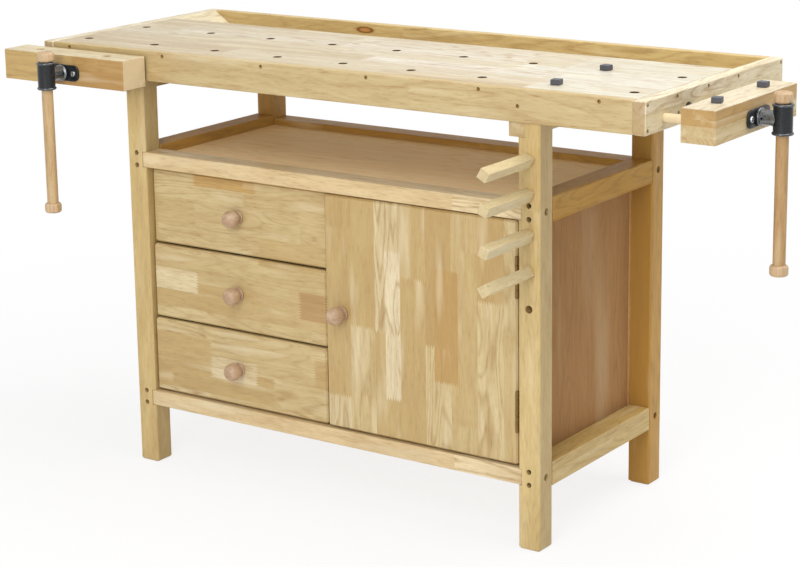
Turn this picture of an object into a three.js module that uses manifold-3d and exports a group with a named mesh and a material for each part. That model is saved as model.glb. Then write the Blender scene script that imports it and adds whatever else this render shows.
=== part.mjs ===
// A joiner's bench in pale rubberwood. The worktop has two rows of dog holes and a tool tray behind it,
// a face vise stands at the left of its front and a tail vise at its right end. The leg frame below
// carries an open shelf, three drawers and a cupboard, and one leg holds a row of support pegs.
// Millimetres, +X to the right, +Y to the back, +Z up.
import * as THREE from 'three';
import { mergeVertices } from 'three/addons/utils/BufferGeometryUtils.js';
import Module from 'manifold-3d';

const wasm = await Module();
wasm.setup();

// Fits and finish shared by all the pieces.
const seat = 0.3; // gap between two pieces that lie against each other
const boreRoom = 1.2; // how much wider a bore is than the bar that slides or turns in it
const ease = 1.5; // chamfer along the edges of a planed board
const frontEase = 3.5; // rounding of the drawer fronts and the door
const legEase = 3.5; // rounding of the legs
const roundSides = 20; // sides of a turned piece
const boreSides = 16; // sides of a bore, a dog or a peg
const holeSides = 8; // sides of a small drilled hole
const boltSides = 12; // sides of a bolt's counterbore
const ballSteps = 6; // chords in the profile of a knob's ball
const earSteps = 5; // chords in each arc of a flange
const roundSteps = 2; // chords in each rounded edge of a handle's drums

// Worktop, its aprons and the tool tray.
const benchHeight = 856;
const topLength = 1380;
const topDepth = 538;
const slabThickness = 18;
const apronHeight = 60;
const apronThickness = 20;
const endBoardThickness = 25;
const trayWidth = 142;
const trayWallThickness = 18;
const trayBottomThickness = 10;
const rampRun = 75;
const dogHoleDiameter = 18;
const dogRowInset = 70; // front row, from the front of the bench
const dogRowSpacing = 177;
const dogPitch = 155;
const dogEndInset = 60;

// Leg frame.
const legSection = 46;
const frameWidth = 960;
const frameDepth = 463;
const frameSetback = 5; // legs behind the front of the apron
const upperRailDrop = 221; // middle of the upper rails below the top of the bench
const lowerRailLevel = 139; // middle of the lower rails above the floor
const crossRailHeight = 31; // rails along the front and the back
const sideRailHeight = 46;
const railHousing = 8; // how far the cross rails are let into the legs
const bearerWidth = 59;
const bearerInset = 5; // in from the right face of the legs
const bearerHeight = 27;
const boltHoleDiameter = 10.5;
const sideBoltHoleDiameter = 14;
const boltHoleDepth = 14;
const boltSpacing = 25;

// Screw holes along the apron and the end boards.
const screwHoleDiameter = 8;
const screwHoleDepth = 7;
const screwInset = 8; // below the top of the bench, and in from the ends of the end boards
const apronScrewInset = 70;
const apronScrewPitch = 244;
const apronScrewCount = 6;
const lowScrewDrop = 31;
const lowScrewOffset = 20; // to the left of the legs' middles
const endScrewInset = 115;
const endScrewPitch = 118;
const endScrewCount = 3;

// Shelf, drawers and cupboard.
const panelThickness = 12;
const backPanelThickness = 6;
const panelGroove = 6; // how far the shelf and the floor are let into the rails
const shelfRecess = 13; // below the top of the upper rails
const floorRecess = 6; // below the top of the lower rails
const frontRecess = 17; // drawer fronts behind the legs when they are pushed home
const doorRecess = 5; // door behind the legs
const frontThickness = 18;
const frontGap = 3.5; // between neighbouring fronts
const frontSideGap = 1.5; // between the drawer fronts and the leg
const frontBackGap = 2; // between the fronts and the panel edges behind them
const drawerNames = ['top', 'middle', 'bottom'];
const drawerStands = [0, 5, 9]; // how far each drawer is left standing out
const drawerLift = 12; // bottom of a drawer box above the bottom of its front
const drawerTopRoom = 26; // top of a drawer box below the top of its front
const drawerWall = 13;
const drawerBottomThickness = 6;
const drawerBottomLift = 8;
const drawerSideGap = 3;
const drawerBackRoom = 31;
const runnerHeight = 14;
const runnerReach = 9;
const runnerBackRoom = 12;
const grooveRoom = 1; // between a runner and the bottom of its groove
const knobDiameter = 35;
const knobNeckDiameter = 19;
const knobBaseDiameter = 28;
const knobBaseHeight = 5;
const knobNeckHeight = 7;
const doorKnobInset = 38;

// Butt hinges of the door.
const hingeHeight = 78;
const hingeInset = 64; // from the ends of the door
const hingeGap = 4.4; // between the door and the leg
const knuckleDiameter = 5.8;
const knuckleCount = 5;
const knuckleRoom = 0.4;
const hingePinDiameter = 3;
const leafThickness = 1.6;
const pinStand = 3; // pin in front of the door

// Vises: the sizes they share.
const jawLength = 316;
const jawThickness = 65;
const jawHeight = 60;
const jawAxisDrop = 35; // screw below the top of the jaw
const guideDiameter = 16;
const guideTenon = 15;
const viseReach = 195; // screw and guides behind the jaw
const screwDiameter = 22;
const wallBoreDiameter = 27;
const flangeThickness = 5;
const flangeBossHeight = 9;
const flangeBossDiameter = 38;
const flangeMiddleDiameter = 44;
const flangeEarDiameter = 32;
const flangeEarOffset = 28;
const flangeScrewDiameter = 6;
const hubStand = 47; // handle's axis in front of the jaw
const hubHeight = 54;
const hubDiameter = 34;
const hubRimDiameter = 38;
const hubRimHeight = 5;
const collarDiameter = 33;
const collarHeight = 5;
const neckDiameter = 27;
const neckPinDiameter = 4;
const handleLength = 322;
const handleDiameter = 22.4;
const handleCapDiameter = 33;
const handleCapHeight = 20;
const handleCapRound = 5;
const nutPlateLength = 80;
const nutPlateHeight = 29;
const nutPlateThickness = 6;
const nutBossDiameter = 29;
const nutBossLength = 30;

// The two vises: where each stands, how far it is open and how its guides are spread.
const faceViseInset = 117; // its screw, from the left end of the bench
const faceViseOpening = 6.5;
const faceViseLift = 15; // its screw above the bottom of the apron
const faceViseGuideInset = 12; // its outer guide, from the inside of the left end board
const tailViseInset = 156; // its screw, from the front of the bench
const tailViseOpening = 66.5;
const tailViseDrop = 3; // top of the jaw below the worktop
const tailViseGuideOffset = 88;

// Bench dogs and support pegs.
const dogHead = 18;
const dogHeadHeight = 10;
const dogShankLength = 45;
const dogTurns = [9, -6, 13, 3];
const dogHole = 1; // which hole of each row holds a dog, counted from the right
const pegSection = 20;
const pegLength = 150;
const pegTenonDiameter = 14;
const pegTenonLength = 36;
const pegDrops = [126, 188, 262, 330, 398]; // peg holes below the top of the bench, the last one empty
const pegTurns = [30, 21, 20, 56];
const pegNames = ['top', 'upper', 'lower', 'bottom'];

const degree = Math.PI / 180;

// Materials.
const rubberwood = { color: 0xd9bd88, roughness: 0.55, metalness: 0 };
const plywood = { color: 0xb98d63, roughness: 0.65, metalness: 0 };
const turnedWood = { color: 0xcfa67c, roughness: 0.5, metalness: 0 };
const castIron = { color: 0x2e3032, roughness: 0.5, metalness: 0.7 };
const hingeSteel = { color: 0x8d7a55, roughness: 0.4, metalness: 0.9 };
const dogPlastic = { color: 0x4b4c50, roughness: 0.6, metalness: 0 };

const bench = new THREE.Group();

// Adds a named piece to a group.
function addPiece(name, geometry, finish, parent = bench) {
  const piece = new THREE.Mesh(geometry, new THREE.MeshStandardMaterial(finish));
  piece.name = name;
  parent.add(piece);
  return piece;
}

// Solids for cutting and joining, and back to geometry.
function solidOf(geometry) {
  const bare = geometry.clone();
  bare.deleteAttribute('normal');
  bare.deleteAttribute('uv');
  const merged = mergeVertices(bare, 1e-4);
  return new wasm.Manifold(new wasm.Mesh({
    numProp: 3,
    vertProperties: merged.attributes.position.array,
    triVerts: new Uint32Array(merged.index.array),
  }));
}

function geometryOf(solid) {
  const mesh = solid.getMesh();
  const geometry = new THREE.BufferGeometry();
  geometry.setAttribute('position', new THREE.BufferAttribute(mesh.vertProperties, 3));
  geometry.setIndex(new THREE.BufferAttribute(mesh.triVerts, 1));
  return geometry;
}

function cut(base, tools) {
  return geometryOf(tools.reduce((solid, tool) => solid.subtract(solidOf(tool)), solidOf(base)));
}

function join(first, ...others) {
  return geometryOf(others.reduce((solid, other) => solid.add(solidOf(other)), solidOf(first)));
}

// A plain block between two corners, grown on every face.
function block([x0, x1], [y0, y1], [z0, z1], grown = 0) {
  const geometry = new THREE.BoxGeometry(x1 - x0 + 2 * grown, y1 - y0 + 2 * grown, z1 - z0 + 2 * grown);
  return geometry.translate((x0 + x1) / 2, (y0 + y1) / 2, (z0 + z1) / 2);
}

// A planed board in the space between two corners. It is seat / 2 smaller on every face, so two boards
// that share a face lie one seat apart, and all its edges are chamfered.
function board([x0, x1], [y0, y1], [z0, z1], edge = ease) {
  const halfX = (x1 - x0 - seat) / 2;
  const halfY = (y1 - y0 - seat) / 2;
  const length = z1 - z0 - seat - 2 * edge;
  const outline = new THREE.Shape();
  outline.moveTo(halfX, halfY - edge);
  outline.lineTo(halfX - edge, halfY);
  outline.lineTo(edge - halfX, halfY);
  outline.lineTo(-halfX, halfY - edge);
  outline.lineTo(-halfX, edge - halfY);
  outline.lineTo(edge - halfX, -halfY);
  outline.lineTo(halfX - edge, -halfY);
  outline.lineTo(halfX, edge - halfY);
  const chamfer = { bevelThickness: edge, bevelSize: edge, bevelOffset: -edge, bevelSegments: 1 };
  const geometry = new THREE.ExtrudeGeometry(outline, { depth: length, ...chamfer });
  return geometry.translate((x0 + x1) / 2, (y0 + y1) / 2, (z0 + z1 - length) / 2);
}

// The room that a board leaves in a piece that it is let into.
function roomFor(x, y, z) {
  return block(x, y, z, seat / 2);
}

// A round bar, or a drill, from one point to another.
function bar(diameter, from, to, sides = roundSides) {
  const start = new THREE.Vector3(...from);
  const way = new THREE.Vector3(...to).sub(start);
  const geometry = new THREE.CylinderGeometry(diameter / 2, diameter / 2, way.length(), sides);
  geometry.translate(0, way.length() / 2, 0);
  const turn = new THREE.Quaternion().setFromUnitVectors(new THREE.Vector3(0, 1, 0), way.normalize());
  return geometry.applyQuaternion(turn).translate(...from);
}

// A piece turned on a lathe, from its profile of radii and heights, standing along +Y.
function turned(profile, sides = roundSides) {
  const points = profile.map(([radius, height]) => new THREE.Vector2(radius, height));
  return new THREE.LatheGeometry(points, sides);
}

// Points along an arc of a profile, angles in degrees from the radius towards the axis.
function arc(radius, height, size, from, to, steps) {
  return Array.from({ length: steps + 1 }, (_, step) => {
    const angle = (from + (to - from) * step / steps) * degree;
    return [radius + size * Math.cos(angle), height + size * Math.sin(angle)];
  });
}

// Levels and faces worked out from the driving sizes.
const halfTop = topLength / 2;
const slabBottom = benchHeight - slabThickness;
const apronBottom = benchHeight - apronHeight;
const legTop = apronBottom - bearerHeight;
const upperRailLevel = benchHeight - upperRailDrop;
const pegLevels = pegDrops.map((drop) => benchHeight - drop);
const trayFloor = apronBottom + trayBottomThickness;
const trayBackFace = topDepth - trayWallThickness;
const trayFrontFace = trayBackFace - trayWidth;
const innerEnd = halfTop - endBoardThickness;
const legOuter = frameWidth / 2;
const legInner = legOuter - legSection;
const legMiddle = legOuter - legSection / 2;
const legFront = frameSetback;
const legFrontBack = legFront + legSection;
const legRear = frameSetback + frameDepth;
const legRearFront = legRear - legSection;
const upperRail = [upperRailLevel - crossRailHeight / 2, upperRailLevel + crossRailHeight / 2];
const lowerRail = [lowerRailLevel - crossRailHeight / 2, lowerRailLevel + crossRailHeight / 2];
const railReach = [-legInner - railHousing, legInner + railHousing];
const frontRailDepth = [legFront, legFrontBack];
const backRailDepth = [legRearFront, legRear];
const shelfTop = upperRail[1] - shelfRecess;
const shelfLevel = [shelfTop - panelThickness, shelfTop];
const floorTop = lowerRail[1] - floorRecess;
const floorLevel = [floorTop - panelThickness, floorTop];
const frontFace = legFront + frontRecess;
const frontBack = frontFace + frontThickness;
const doorFace = legFront + doorRecess;
const doorBack = doorFace + frontThickness;
const panelFront = frontBack + frontBackGap;
const panelRear = legRearFront - backPanelThickness;

// The vises stand in frames of their own: +X out of the bench along the screw, +Y along the jaw.
function viseFrame(x, y, z, turn) {
  return new THREE.Matrix4().makeRotationZ(turn).setPosition(x, y, z);
}

const faceVise = {
  name: 'left',
  opening: faceViseOpening,
  guideOffset: faceViseInset - endBoardThickness - faceViseGuideInset,
  wall: apronThickness,
  frame: viseFrame(faceViseInset - halfTop, 0, apronBottom + faceViseLift, -90 * degree),
};
const tailVise = {
  name: 'right',
  opening: tailViseOpening,
  guideOffset: tailViseGuideOffset,
  wall: endBoardThickness,
  frame: viseFrame(halfTop, tailViseInset, benchHeight - tailViseDrop - jawAxisDrop, 0),
};

// The holes that a vise needs in the board it is fixed to: the screw, its guides and the nut's two screws.
function viseBores({ wall, guideOffset, frame }) {
  const through = (diameter, offset, sides) => (
    bar(diameter, [-wall - seat, offset, 0], [seat, offset, 0], sides));
  const nutScrew = flangeEarOffset + screwHoleDiameter;
  return [
    through(wallBoreDiameter, 0, roundSides),
    through(guideDiameter + boreRoom, guideOffset, boreSides),
    through(guideDiameter + boreRoom, -guideOffset, boreSides),
    ...[nutScrew, -nutScrew].map((offset) => (
      bar(screwHoleDiameter, [-screwHoleDepth, offset, 0], [seat, offset, 0], holeSides))),
  ].map((geometry) => geometry.applyMatrix4(frame));
}

// Worktop with its two rows of dog holes. They step in from the right end, and one more is at the left.
const dogColumns = Math.floor((topLength - 2 * dogEndInset) / dogPitch);
const dogPlaces = Array.from({ length: dogColumns }, (_, column) => (
  halfTop - dogEndInset - column * dogPitch));
dogPlaces.push(dogEndInset - halfTop);
const dogRows = [dogRowInset, dogRowInset + dogRowSpacing];

function addWorktop() {
  const depth = [apronThickness, trayFrontFace];
  const slab = board([-innerEnd, innerEnd], depth, [slabBottom, benchHeight], ease / 2);
  const holes = dogPlaces.flatMap((x) => dogRows.map((y) => (
    bar(dogHoleDiameter, [x, y, slabBottom - seat], [x, y, benchHeight + seat], boreSides))));
  addPiece('worktop', cut(slab, holes), rubberwood);
}

// Apron along the front, with its row of screw holes and the bores of the face vise.
function addApron() {
  const apron = board([-innerEnd, innerEnd], [0, apronThickness], [apronBottom, benchHeight]);
  const screwLevel = benchHeight - screwInset;
  const places = Array.from({ length: apronScrewCount }, (_, index) => (
    [apronScrewInset - halfTop + index * apronScrewPitch, screwLevel]));
  [-legMiddle, legMiddle].forEach((x) => places.push([x - lowScrewOffset, benchHeight - lowScrewDrop]));
  const holes = places.map(([x, z]) => (
    bar(screwHoleDiameter, [x, -seat, z], [x, screwHoleDepth, z], holeSides)));
  addPiece('front_apron', cut(apron, [...holes, ...viseBores(faceVise)]), rubberwood);
}

// An end board with the sloping end of the tray. The right one also has the bores of the tail vise.
function addEndBoard(name, side, bores) {
  const outer = side * halfTop;
  const inner = side * innerEnd;
  const span = [Math.min(inner, outer), Math.max(inner, outer)];
  const plank = board(span, [0, topDepth], [apronBottom, benchHeight]);
  const slope = new THREE.Shape();
  slope.moveTo(side * (innerEnd + ease), benchHeight - ease);
  slope.lineTo(inner, benchHeight - ease);
  slope.lineTo(side * (innerEnd - rampRun), trayFloor + seat);
  slope.lineTo(side * (innerEnd + ease), trayFloor + seat);
  const ramp = new THREE.ExtrudeGeometry(slope, { depth: trayWidth - 2 * seat, bevelEnabled: false });
  ramp.rotateX(90 * degree).translate(0, trayBackFace - seat, 0);
  const screwLevel = benchHeight - screwInset;
  const cornerPlaces = [screwInset, topDepth - screwInset].flatMap((y) => (
    [[y, screwLevel], [y, apronBottom + screwInset]]));
  const slabPlaces = Array.from({ length: endScrewCount }, (_, index) => (
    [endScrewInset + index * endScrewPitch, screwLevel]));
  const holes = [...cornerPlaces, ...slabPlaces].map(([y, z]) => (
    bar(screwHoleDiameter, [outer + side * seat, y, z], [outer - side * screwHoleDepth, y, z], holeSides)));
  addPiece(name, cut(join(plank, ramp), [...holes, ...bores]), rubberwood);
}

function addTray() {
  const along = [-innerEnd, innerEnd];
  const frontWall = [trayFrontFace - trayWallThickness, trayFrontFace];
  addPiece('tray_front', board(along, frontWall, [apronBottom, slabBottom]), rubberwood);
  addPiece('tray_back', board(along, [trayBackFace, topDepth], [apronBottom, benchHeight]), rubberwood);
  const floor = board(along, [trayFrontFace, trayBackFace], [apronBottom, trayFloor], ease / 2);
  addPiece('tray_bottom', floor, plywood);
}

// The inner edge of a back leg stays square, because the side and back panels close against it.
function squareEdge(side, front) {
  const edge = [side * legInner + side * seat / 2, side * (legInner + 2 * legEase)].sort((a, b) => a - b);
  return block(edge, [front + seat / 2, front + 2 * legEase], [legEase, legTop]);
}

// A leg with its top cut square under the bearer, the housings for the cross rails and its counterbored
// bolt holes.
function legGeometry(side, end) {
  const middleX = side * legMiddle;
  const depth = end < 0 ? frontRailDepth : backRailDepth;
  const middleY = (depth[0] + depth[1]) / 2;
  const width = [middleX - legSection / 2, middleX + legSection / 2];
  const post = board(width, depth, [0, legTop + 2 * legEase], legEase);
  const above = block(width, depth, [legTop - seat / 2, legTop + 3 * legEase]);
  const leg = end < 0 ? post : join(post, squareEdge(side, depth[0]));
  const face = end < 0 ? legFront : legRear;
  const housings = [upperRail, lowerRail].map((level) => roomFor(railReach, depth, level));
  const levels = [upperRailLevel, lowerRailLevel];
  const faceHoles = levels.flatMap((level) => [-boltSpacing / 2, boltSpacing / 2].map((shift) => bar(
    boltHoleDiameter,
    [middleX, face + end * seat, level + shift],
    [middleX, face - end * boltHoleDepth, level + shift],
    boltSides,
  )));
  const sideHoles = levels.map((level) => bar(
    sideBoltHoleDiameter,
    [side * (legOuter + seat), middleY, level],
    [side * (legOuter - boltHoleDepth), middleY, level],
    boltSides,
  ));
  return cut(leg, [above, ...housings, ...faceHoles, ...sideHoles]);
}

// The right front leg also has a row of peg holes, one more than there are pegs.
function addLegs() {
  const pegHoles = pegLevels.map((z) => {
    const bottom = legFront + pegTenonLength + boreRoom;
    const from = [legMiddle, legFront - seat, z];
    return bar(pegTenonDiameter + boreRoom, from, [legMiddle, bottom, z], boreSides);
  });
  addPiece('front_left_leg', legGeometry(-1, -1), rubberwood);
  addPiece('front_right_leg', cut(legGeometry(1, -1), pegHoles), rubberwood);
  addPiece('back_left_leg', legGeometry(-1, 1), rubberwood);
  addPiece('back_right_leg', legGeometry(1, 1), rubberwood);
}

// Cross rails let into the legs, grooved for the shelf and the floor, and side rails between the legs.
function addRails() {
  const panelDepth = [legFrontBack - panelGroove, legRearFront + panelGroove];
  const grooveFor = (level) => roomFor([-legInner, legInner], panelDepth, level);
  const crossRails = [['upper', upperRail, shelfLevel], ['lower', lowerRail, floorLevel]];
  crossRails.forEach(([name, level, panelLevel]) => {
    const frontRail = board(railReach, frontRailDepth, level);
    const backRail = board(railReach, backRailDepth, level);
    addPiece(`${name}_front_rail`, cut(frontRail, [grooveFor(panelLevel)]), rubberwood);
    addPiece(`${name}_back_rail`, cut(backRail, [grooveFor(panelLevel)]), rubberwood);
  });
  [['upper', upperRailLevel], ['lower', lowerRailLevel]].forEach(([name, middle]) => {
    const level = [middle - sideRailHeight / 2, middle + sideRailHeight / 2];
    const depth = [legFrontBack, legRearFront];
    addPiece(`${name}_left_rail`, board([-legOuter, -legInner], depth, level), rubberwood);
    addPiece(`${name}_right_rail`, board([legInner, legOuter], depth, level), rubberwood);
  });
  addPiece('shelf_panel', board([-legInner, legInner], panelDepth, shelfLevel, ease / 2), plywood);
  addPiece('bottom_panel', board([-legInner, legInner], panelDepth, floorLevel, ease / 2), plywood);
}

// Bearers across the leg tops. Both stand out past their legs on the left.
function addBearers() {
  const depth = [legFront, legRear];
  const level = [legTop, apronBottom];
  [['left', -legInner - bearerInset], ['right', legOuter - bearerInset]].forEach(([name, edge]) => {
    addPiece(`${name}_bearer`, board([edge - bearerWidth, edge], depth, level, ease * 2), rubberwood);
  });
}

// Drawer fronts share the height between the rails.
const frontLevels = [lowerRail[1] + frontGap, upperRail[0] - frontGap];
const drawerPitch = (frontLevels[1] - frontLevels[0] + frontGap) / drawerNames.length;
const drawers = drawerNames.map((name, index) => {
  const bottom = frontLevels[0] + (drawerNames.length - 1 - index) * drawerPitch;
  const top = bottom + drawerPitch - frontGap;
  const box = [bottom + drawerLift, top - drawerTopRoom];
  const stand = drawerStands[index];
  return { name, stand, front: [bottom, top], box, runnerLevel: (box[0] + box[1]) / 2 };
});
const bay = [-legInner + panelThickness, -panelThickness / 2];
const runnerDepth = [panelFront + runnerBackRoom, panelRear - runnerBackRoom];

// Panels of the cupboard: sides, divider and back. The left side and the divider carry the runners.
function addPanels() {
  const level = [floorTop, shelfLevel[0]];
  const depth = [panelFront, panelRear];
  const corners = [upperRail, lowerRail].map((rail) => roomFor(railReach, frontRailDepth, rail));
  const panel = (x) => cut(board(x, depth, level, ease / 2), corners);
  const runners = (x) => drawers.map(({ runnerLevel }) => (
    block(x, runnerDepth, [runnerLevel - runnerHeight / 2, runnerLevel + runnerHeight / 2])));
  const leftPanel = panel([-legInner, bay[0]]);
  const divider = panel([bay[1], panelThickness / 2]);
  addPiece('left_side_panel', join(leftPanel, ...runners([bay[0] - ease, bay[0] + runnerReach])), plywood);
  addPiece('divider_panel', join(divider, ...runners([bay[1] - runnerReach, bay[1] + ease])), plywood);
  addPiece('right_side_panel', panel([legInner - panelThickness, legInner]), plywood);
  addPiece('back_panel', board([-legInner, legInner], [panelRear, legRearFront], level, ease / 2), plywood);
}

// A turned ball knob that stands out of a front along -Y.
function knobGeometry() {
  const ball = knobDiameter / 2;
  const neck = knobNeckDiameter / 2;
  const start = -Math.acos(neck / ball) / degree;
  const middle = knobNeckHeight - ball * Math.sin(start * degree);
  const base = [[0, 0], [knobBaseDiameter / 2, 0], [knobBaseDiameter / 2, knobBaseHeight]];
  return turned([...base, ...arc(0, middle, ball, start, 90, ballSteps)]).rotateX(180 * degree);
}

function addKnob(name, x, face, z) {
  addPiece(name, knobGeometry(), turnedWood).position.set(x, face - seat / 2, z);
}

// A drawer box: four walls, a bottom held a little above their lower edges, and a groove along each side
// that rides on a runner.
function drawerBox({ stand, box, runnerLevel }) {
  const x = [bay[0] + drawerSideGap, bay[1] - drawerSideGap];
  const y = [frontBack - stand, panelRear - drawerBackRoom - stand];
  const inX = [x[0] + drawerWall, x[1] - drawerWall];
  const inY = [y[0] + drawerWall, y[1] - drawerWall];
  const bottom = box[0] + drawerBottomLift;
  const grooveLevel = [runnerLevel - runnerHeight / 2 - seat, runnerLevel + runnerHeight / 2 + seat];
  const grooveY = [runnerDepth[0] - runnerBackRoom / 2 - stand, panelRear];
  const grooveDepth = runnerReach - drawerSideGap + grooveRoom;
  return cut(board(x, y, box, ease / 2), [
    block(inX, inY, [bottom + drawerBottomThickness, box[1] + ease]),
    block(inX, inY, [box[0] - ease, bottom]),
    block([x[0] - drawerSideGap, x[0] + grooveDepth], grooveY, grooveLevel),
    block([x[1] - grooveDepth, x[1] + drawerSideGap], grooveY, grooveLevel),
  ]);
}

function addDrawers() {
  const x = [-legInner + frontSideGap, -frontGap / 2];
  drawers.forEach((drawer) => {
    const { name, stand, front } = drawer;
    const face = frontFace - stand;
    addPiece(`${name}_drawer_front`, board(x, [face, frontBack - stand], front, frontEase), rubberwood);
    addPiece(`${name}_drawer_box`, drawerBox(drawer), plywood);
    addKnob(`${name}_drawer_knob`, (x[0] + x[1]) / 2, face, (front[0] + front[1]) / 2);
  });
}

// The door and its two butt hinges. The pin belongs to the leaf on the leg.
const doorEdge = legInner - hingeGap;
const pinX = legInner - seat / 2 - knuckleDiameter / 2;
const pinY = doorFace - pinStand;

function hingeLeaf(middle, x, fixed) {
  const plateFront = pinY + knuckleDiameter / 2 + seat;
  const low = middle - hingeHeight / 2;
  const step = hingeHeight / knuckleCount;
  const plate = block(x, [plateFront, doorBack - seat], [low, low + hingeHeight]);
  const knuckles = Array.from({ length: knuckleCount }, (_, index) => index)
    .filter((index) => (index % 2 === 0) === fixed)
    .flatMap((index) => {
      const level = [low + index * step + knuckleRoom / 2, low + (index + 1) * step - knuckleRoom / 2];
      const knuckle = bar(knuckleDiameter, [pinX, pinY, level[0]], [pinX, pinY, level[1]], holeSides);
      return [knuckle, block(x, [pinY, plateFront + seat], level)];
    });
  const leaf = join(plate, ...knuckles);
  const pin = (diameter, from, to) => bar(diameter, [pinX, pinY, from], [pinX, pinY, to], holeSides);
  if (fixed) {
    return join(leaf, pin(hingePinDiameter, low + knuckleRoom, low + hingeHeight - knuckleRoom));
  }
  return cut(leaf, [pin(hingePinDiameter + boreRoom, low, low + hingeHeight)]);
}

function addDoor() {
  const x = [frontGap / 2, doorEdge];
  addPiece('door_panel', board(x, [doorFace, doorBack], frontLevels, frontEase), rubberwood);
  addKnob('door_knob', x[0] + doorKnobInset, doorFace, (frontLevels[0] + frontLevels[1]) / 2);
  const fixedLeaf = [legInner - seat / 2 - leafThickness, legInner - seat / 2];
  const doorLeaf = [doorEdge + seat / 2, doorEdge + seat / 2 + leafThickness];
  const toMiddle = hingeInset + hingeHeight / 2;
  const middles = [frontLevels[1] - toMiddle, frontLevels[0] + toMiddle];
  ['upper', 'lower'].forEach((name, index) => {
    addPiece(`${name}_hinge_frame_leaf`, hingeLeaf(middles[index], fixedLeaf, true), hingeSteel);
    addPiece(`${name}_hinge_door_leaf`, hingeLeaf(middles[index], doorLeaf, false), hingeSteel);
  });
}

// Outline of the flange: a round middle drawn out into two ears, with straight sides between the arcs.
function flangeOutline() {
  const middle = flangeMiddleDiameter / 2;
  const ear = flangeEarDiameter / 2;
  const lean = Math.acos((middle - ear) / flangeEarOffset);
  const outline = new THREE.Shape();
  outline.absarc(flangeEarOffset, 0, ear, -lean, lean);
  outline.absarc(0, 0, middle, lean, Math.PI - lean);
  outline.absarc(-flangeEarOffset, 0, ear, Math.PI - lean, Math.PI + lean);
  outline.absarc(0, 0, middle, Math.PI + lean, 2 * Math.PI - lean);
  return outline;
}

// Turns a flat outline drawn in X and Y into a plate that faces out along the screw.
function plateAcross(outline, thickness, from) {
  const settings = { depth: thickness, bevelEnabled: false, curveSegments: earSteps };
  const plate = new THREE.ExtrudeGeometry(outline, settings);
  return plate.rotateX(90 * degree).rotateZ(90 * degree).translate(from, 0, 0);
}

// The jaw: a thick block with the screw's bore, two dog holes and the two guides glued into its inner face.
function jawGeometry({ opening, guideOffset }) {
  const top = jawAxisDrop;
  const bottom = top - jawHeight;
  const inner = opening;
  const outer = opening + jawThickness;
  const jaw = board([inner, outer], [-jawLength / 2, jawLength / 2], [bottom, top], ease / 2);
  const guides = [guideOffset, -guideOffset].map((offset) => (
    bar(guideDiameter, [inner - viseReach, offset, 0], [inner + guideTenon, offset, 0], boreSides)));
  const middle = (inner + outer) / 2;
  const dogHoles = [dogRowSpacing / 2, -dogRowSpacing / 2].map((offset) => (
    bar(dogHoleDiameter, [middle, offset, bottom - seat], [middle, offset, top + seat], boreSides)));
  const screwBore = bar(screwDiameter + 2 * boreRoom, [inner - seat, 0, 0], [outer + seat, 0, 0]);
  return cut(join(jaw, ...guides), [screwBore, ...dogHoles]);
}

// The flange screwed to the jaw: two ears, and a boss that the screw's collar turns against.
function flangeGeometry(face) {
  const plate = plateAcross(flangeOutline(), flangeThickness, face);
  const boss = bar(flangeBossDiameter, [face + seat, 0, 0], [face + flangeBossHeight, 0, 0]);
  const end = face + flangeBossHeight + seat;
  const screwHoles = [flangeEarOffset, -flangeEarOffset].map((offset) => (
    bar(flangeScrewDiameter, [face - seat, offset, 0], [end, offset, 0], holeSides)));
  const bore = bar(screwDiameter + boreRoom, [face - seat, 0, 0], [end, 0, 0]);
  return cut(join(plate, boss), [bore, ...screwHoles]);
}

// The screw with its cast head: a collar and a neck that swell out of the screw, and an upright barrel
// with beaded rims, bored for the handle.
function screwGeometry({ opening }, face) {
  const collarFrom = face + flangeBossHeight + seat;
  const hub = opening + jawThickness + hubStand;
  const profile = [
    [0, opening - viseReach],
    [screwDiameter / 2 - ease, opening - viseReach],
    [screwDiameter / 2, opening - viseReach + ease],
    [screwDiameter / 2, collarFrom],
    [collarDiameter / 2, collarFrom],
    [collarDiameter / 2, collarFrom + collarHeight],
    [neckDiameter / 2 + ease, collarFrom + collarHeight + ease],
    [neckDiameter / 2, hub - hubDiameter / 2],
    [neckDiameter / 2, hub],
    [0, hub],
  ];
  const shaft = turned(profile).rotateZ(-90 * degree);
  const half = hubHeight / 2;
  const wall = hubDiameter / 2;
  const rim = hubRimHeight / 2;
  const bead = (hubRimDiameter - hubDiameter) / 2;
  const lowerBead = arc(wall, rim - half, bead, -90, 90, 4).map(([radius, height]) => (
    [radius, rim - half + (height - rim + half) * rim / bead]));
  const upperBead = lowerBead.map(([radius, height]) => [radius, -height]).reverse();
  const barrel = turned([[0, -half], ...lowerBead, ...upperBead, [0, half]]);
  barrel.rotateX(90 * degree).translate(hub, 0, 0);
  const handleBore = bar(handleDiameter + boreRoom, [hub, 0, -half - seat], [hub, 0, half + seat]);
  const pinPlace = (collarFrom + collarHeight + hub - hubDiameter / 2) / 2;
  const pinEnds = [[pinPlace, -collarDiameter, 0], [pinPlace, collarDiameter, 0]];
  const pinHole = bar(neckPinDiameter, ...pinEnds, holeSides);
  return cut(join(shaft, barrel), [handleBore, pinHole]);
}

// The handle: a bar with a rounded drum on each end. It hangs from its upper drum on the hub.
function handleGeometry() {
  const cap = handleCapDiameter / 2;
  const drum = (low) => [
    ...arc(cap - handleCapRound, low + handleCapRound, handleCapRound, -90, 0, roundSteps),
    ...arc(cap - handleCapRound, low + handleCapHeight - handleCapRound, handleCapRound, 0, 90, roundSteps),
  ];
  const top = hubHeight / 2 + seat + handleCapHeight;
  const shaft = handleDiameter / 2;
  const low = top - handleLength;
  return turned([
    [0, low],
    ...drum(low),
    [shaft, low + handleCapHeight],
    [shaft, top - handleCapHeight],
    ...drum(top - handleCapHeight),
    [0, top],
  ]).rotateX(90 * degree);
}

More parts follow.
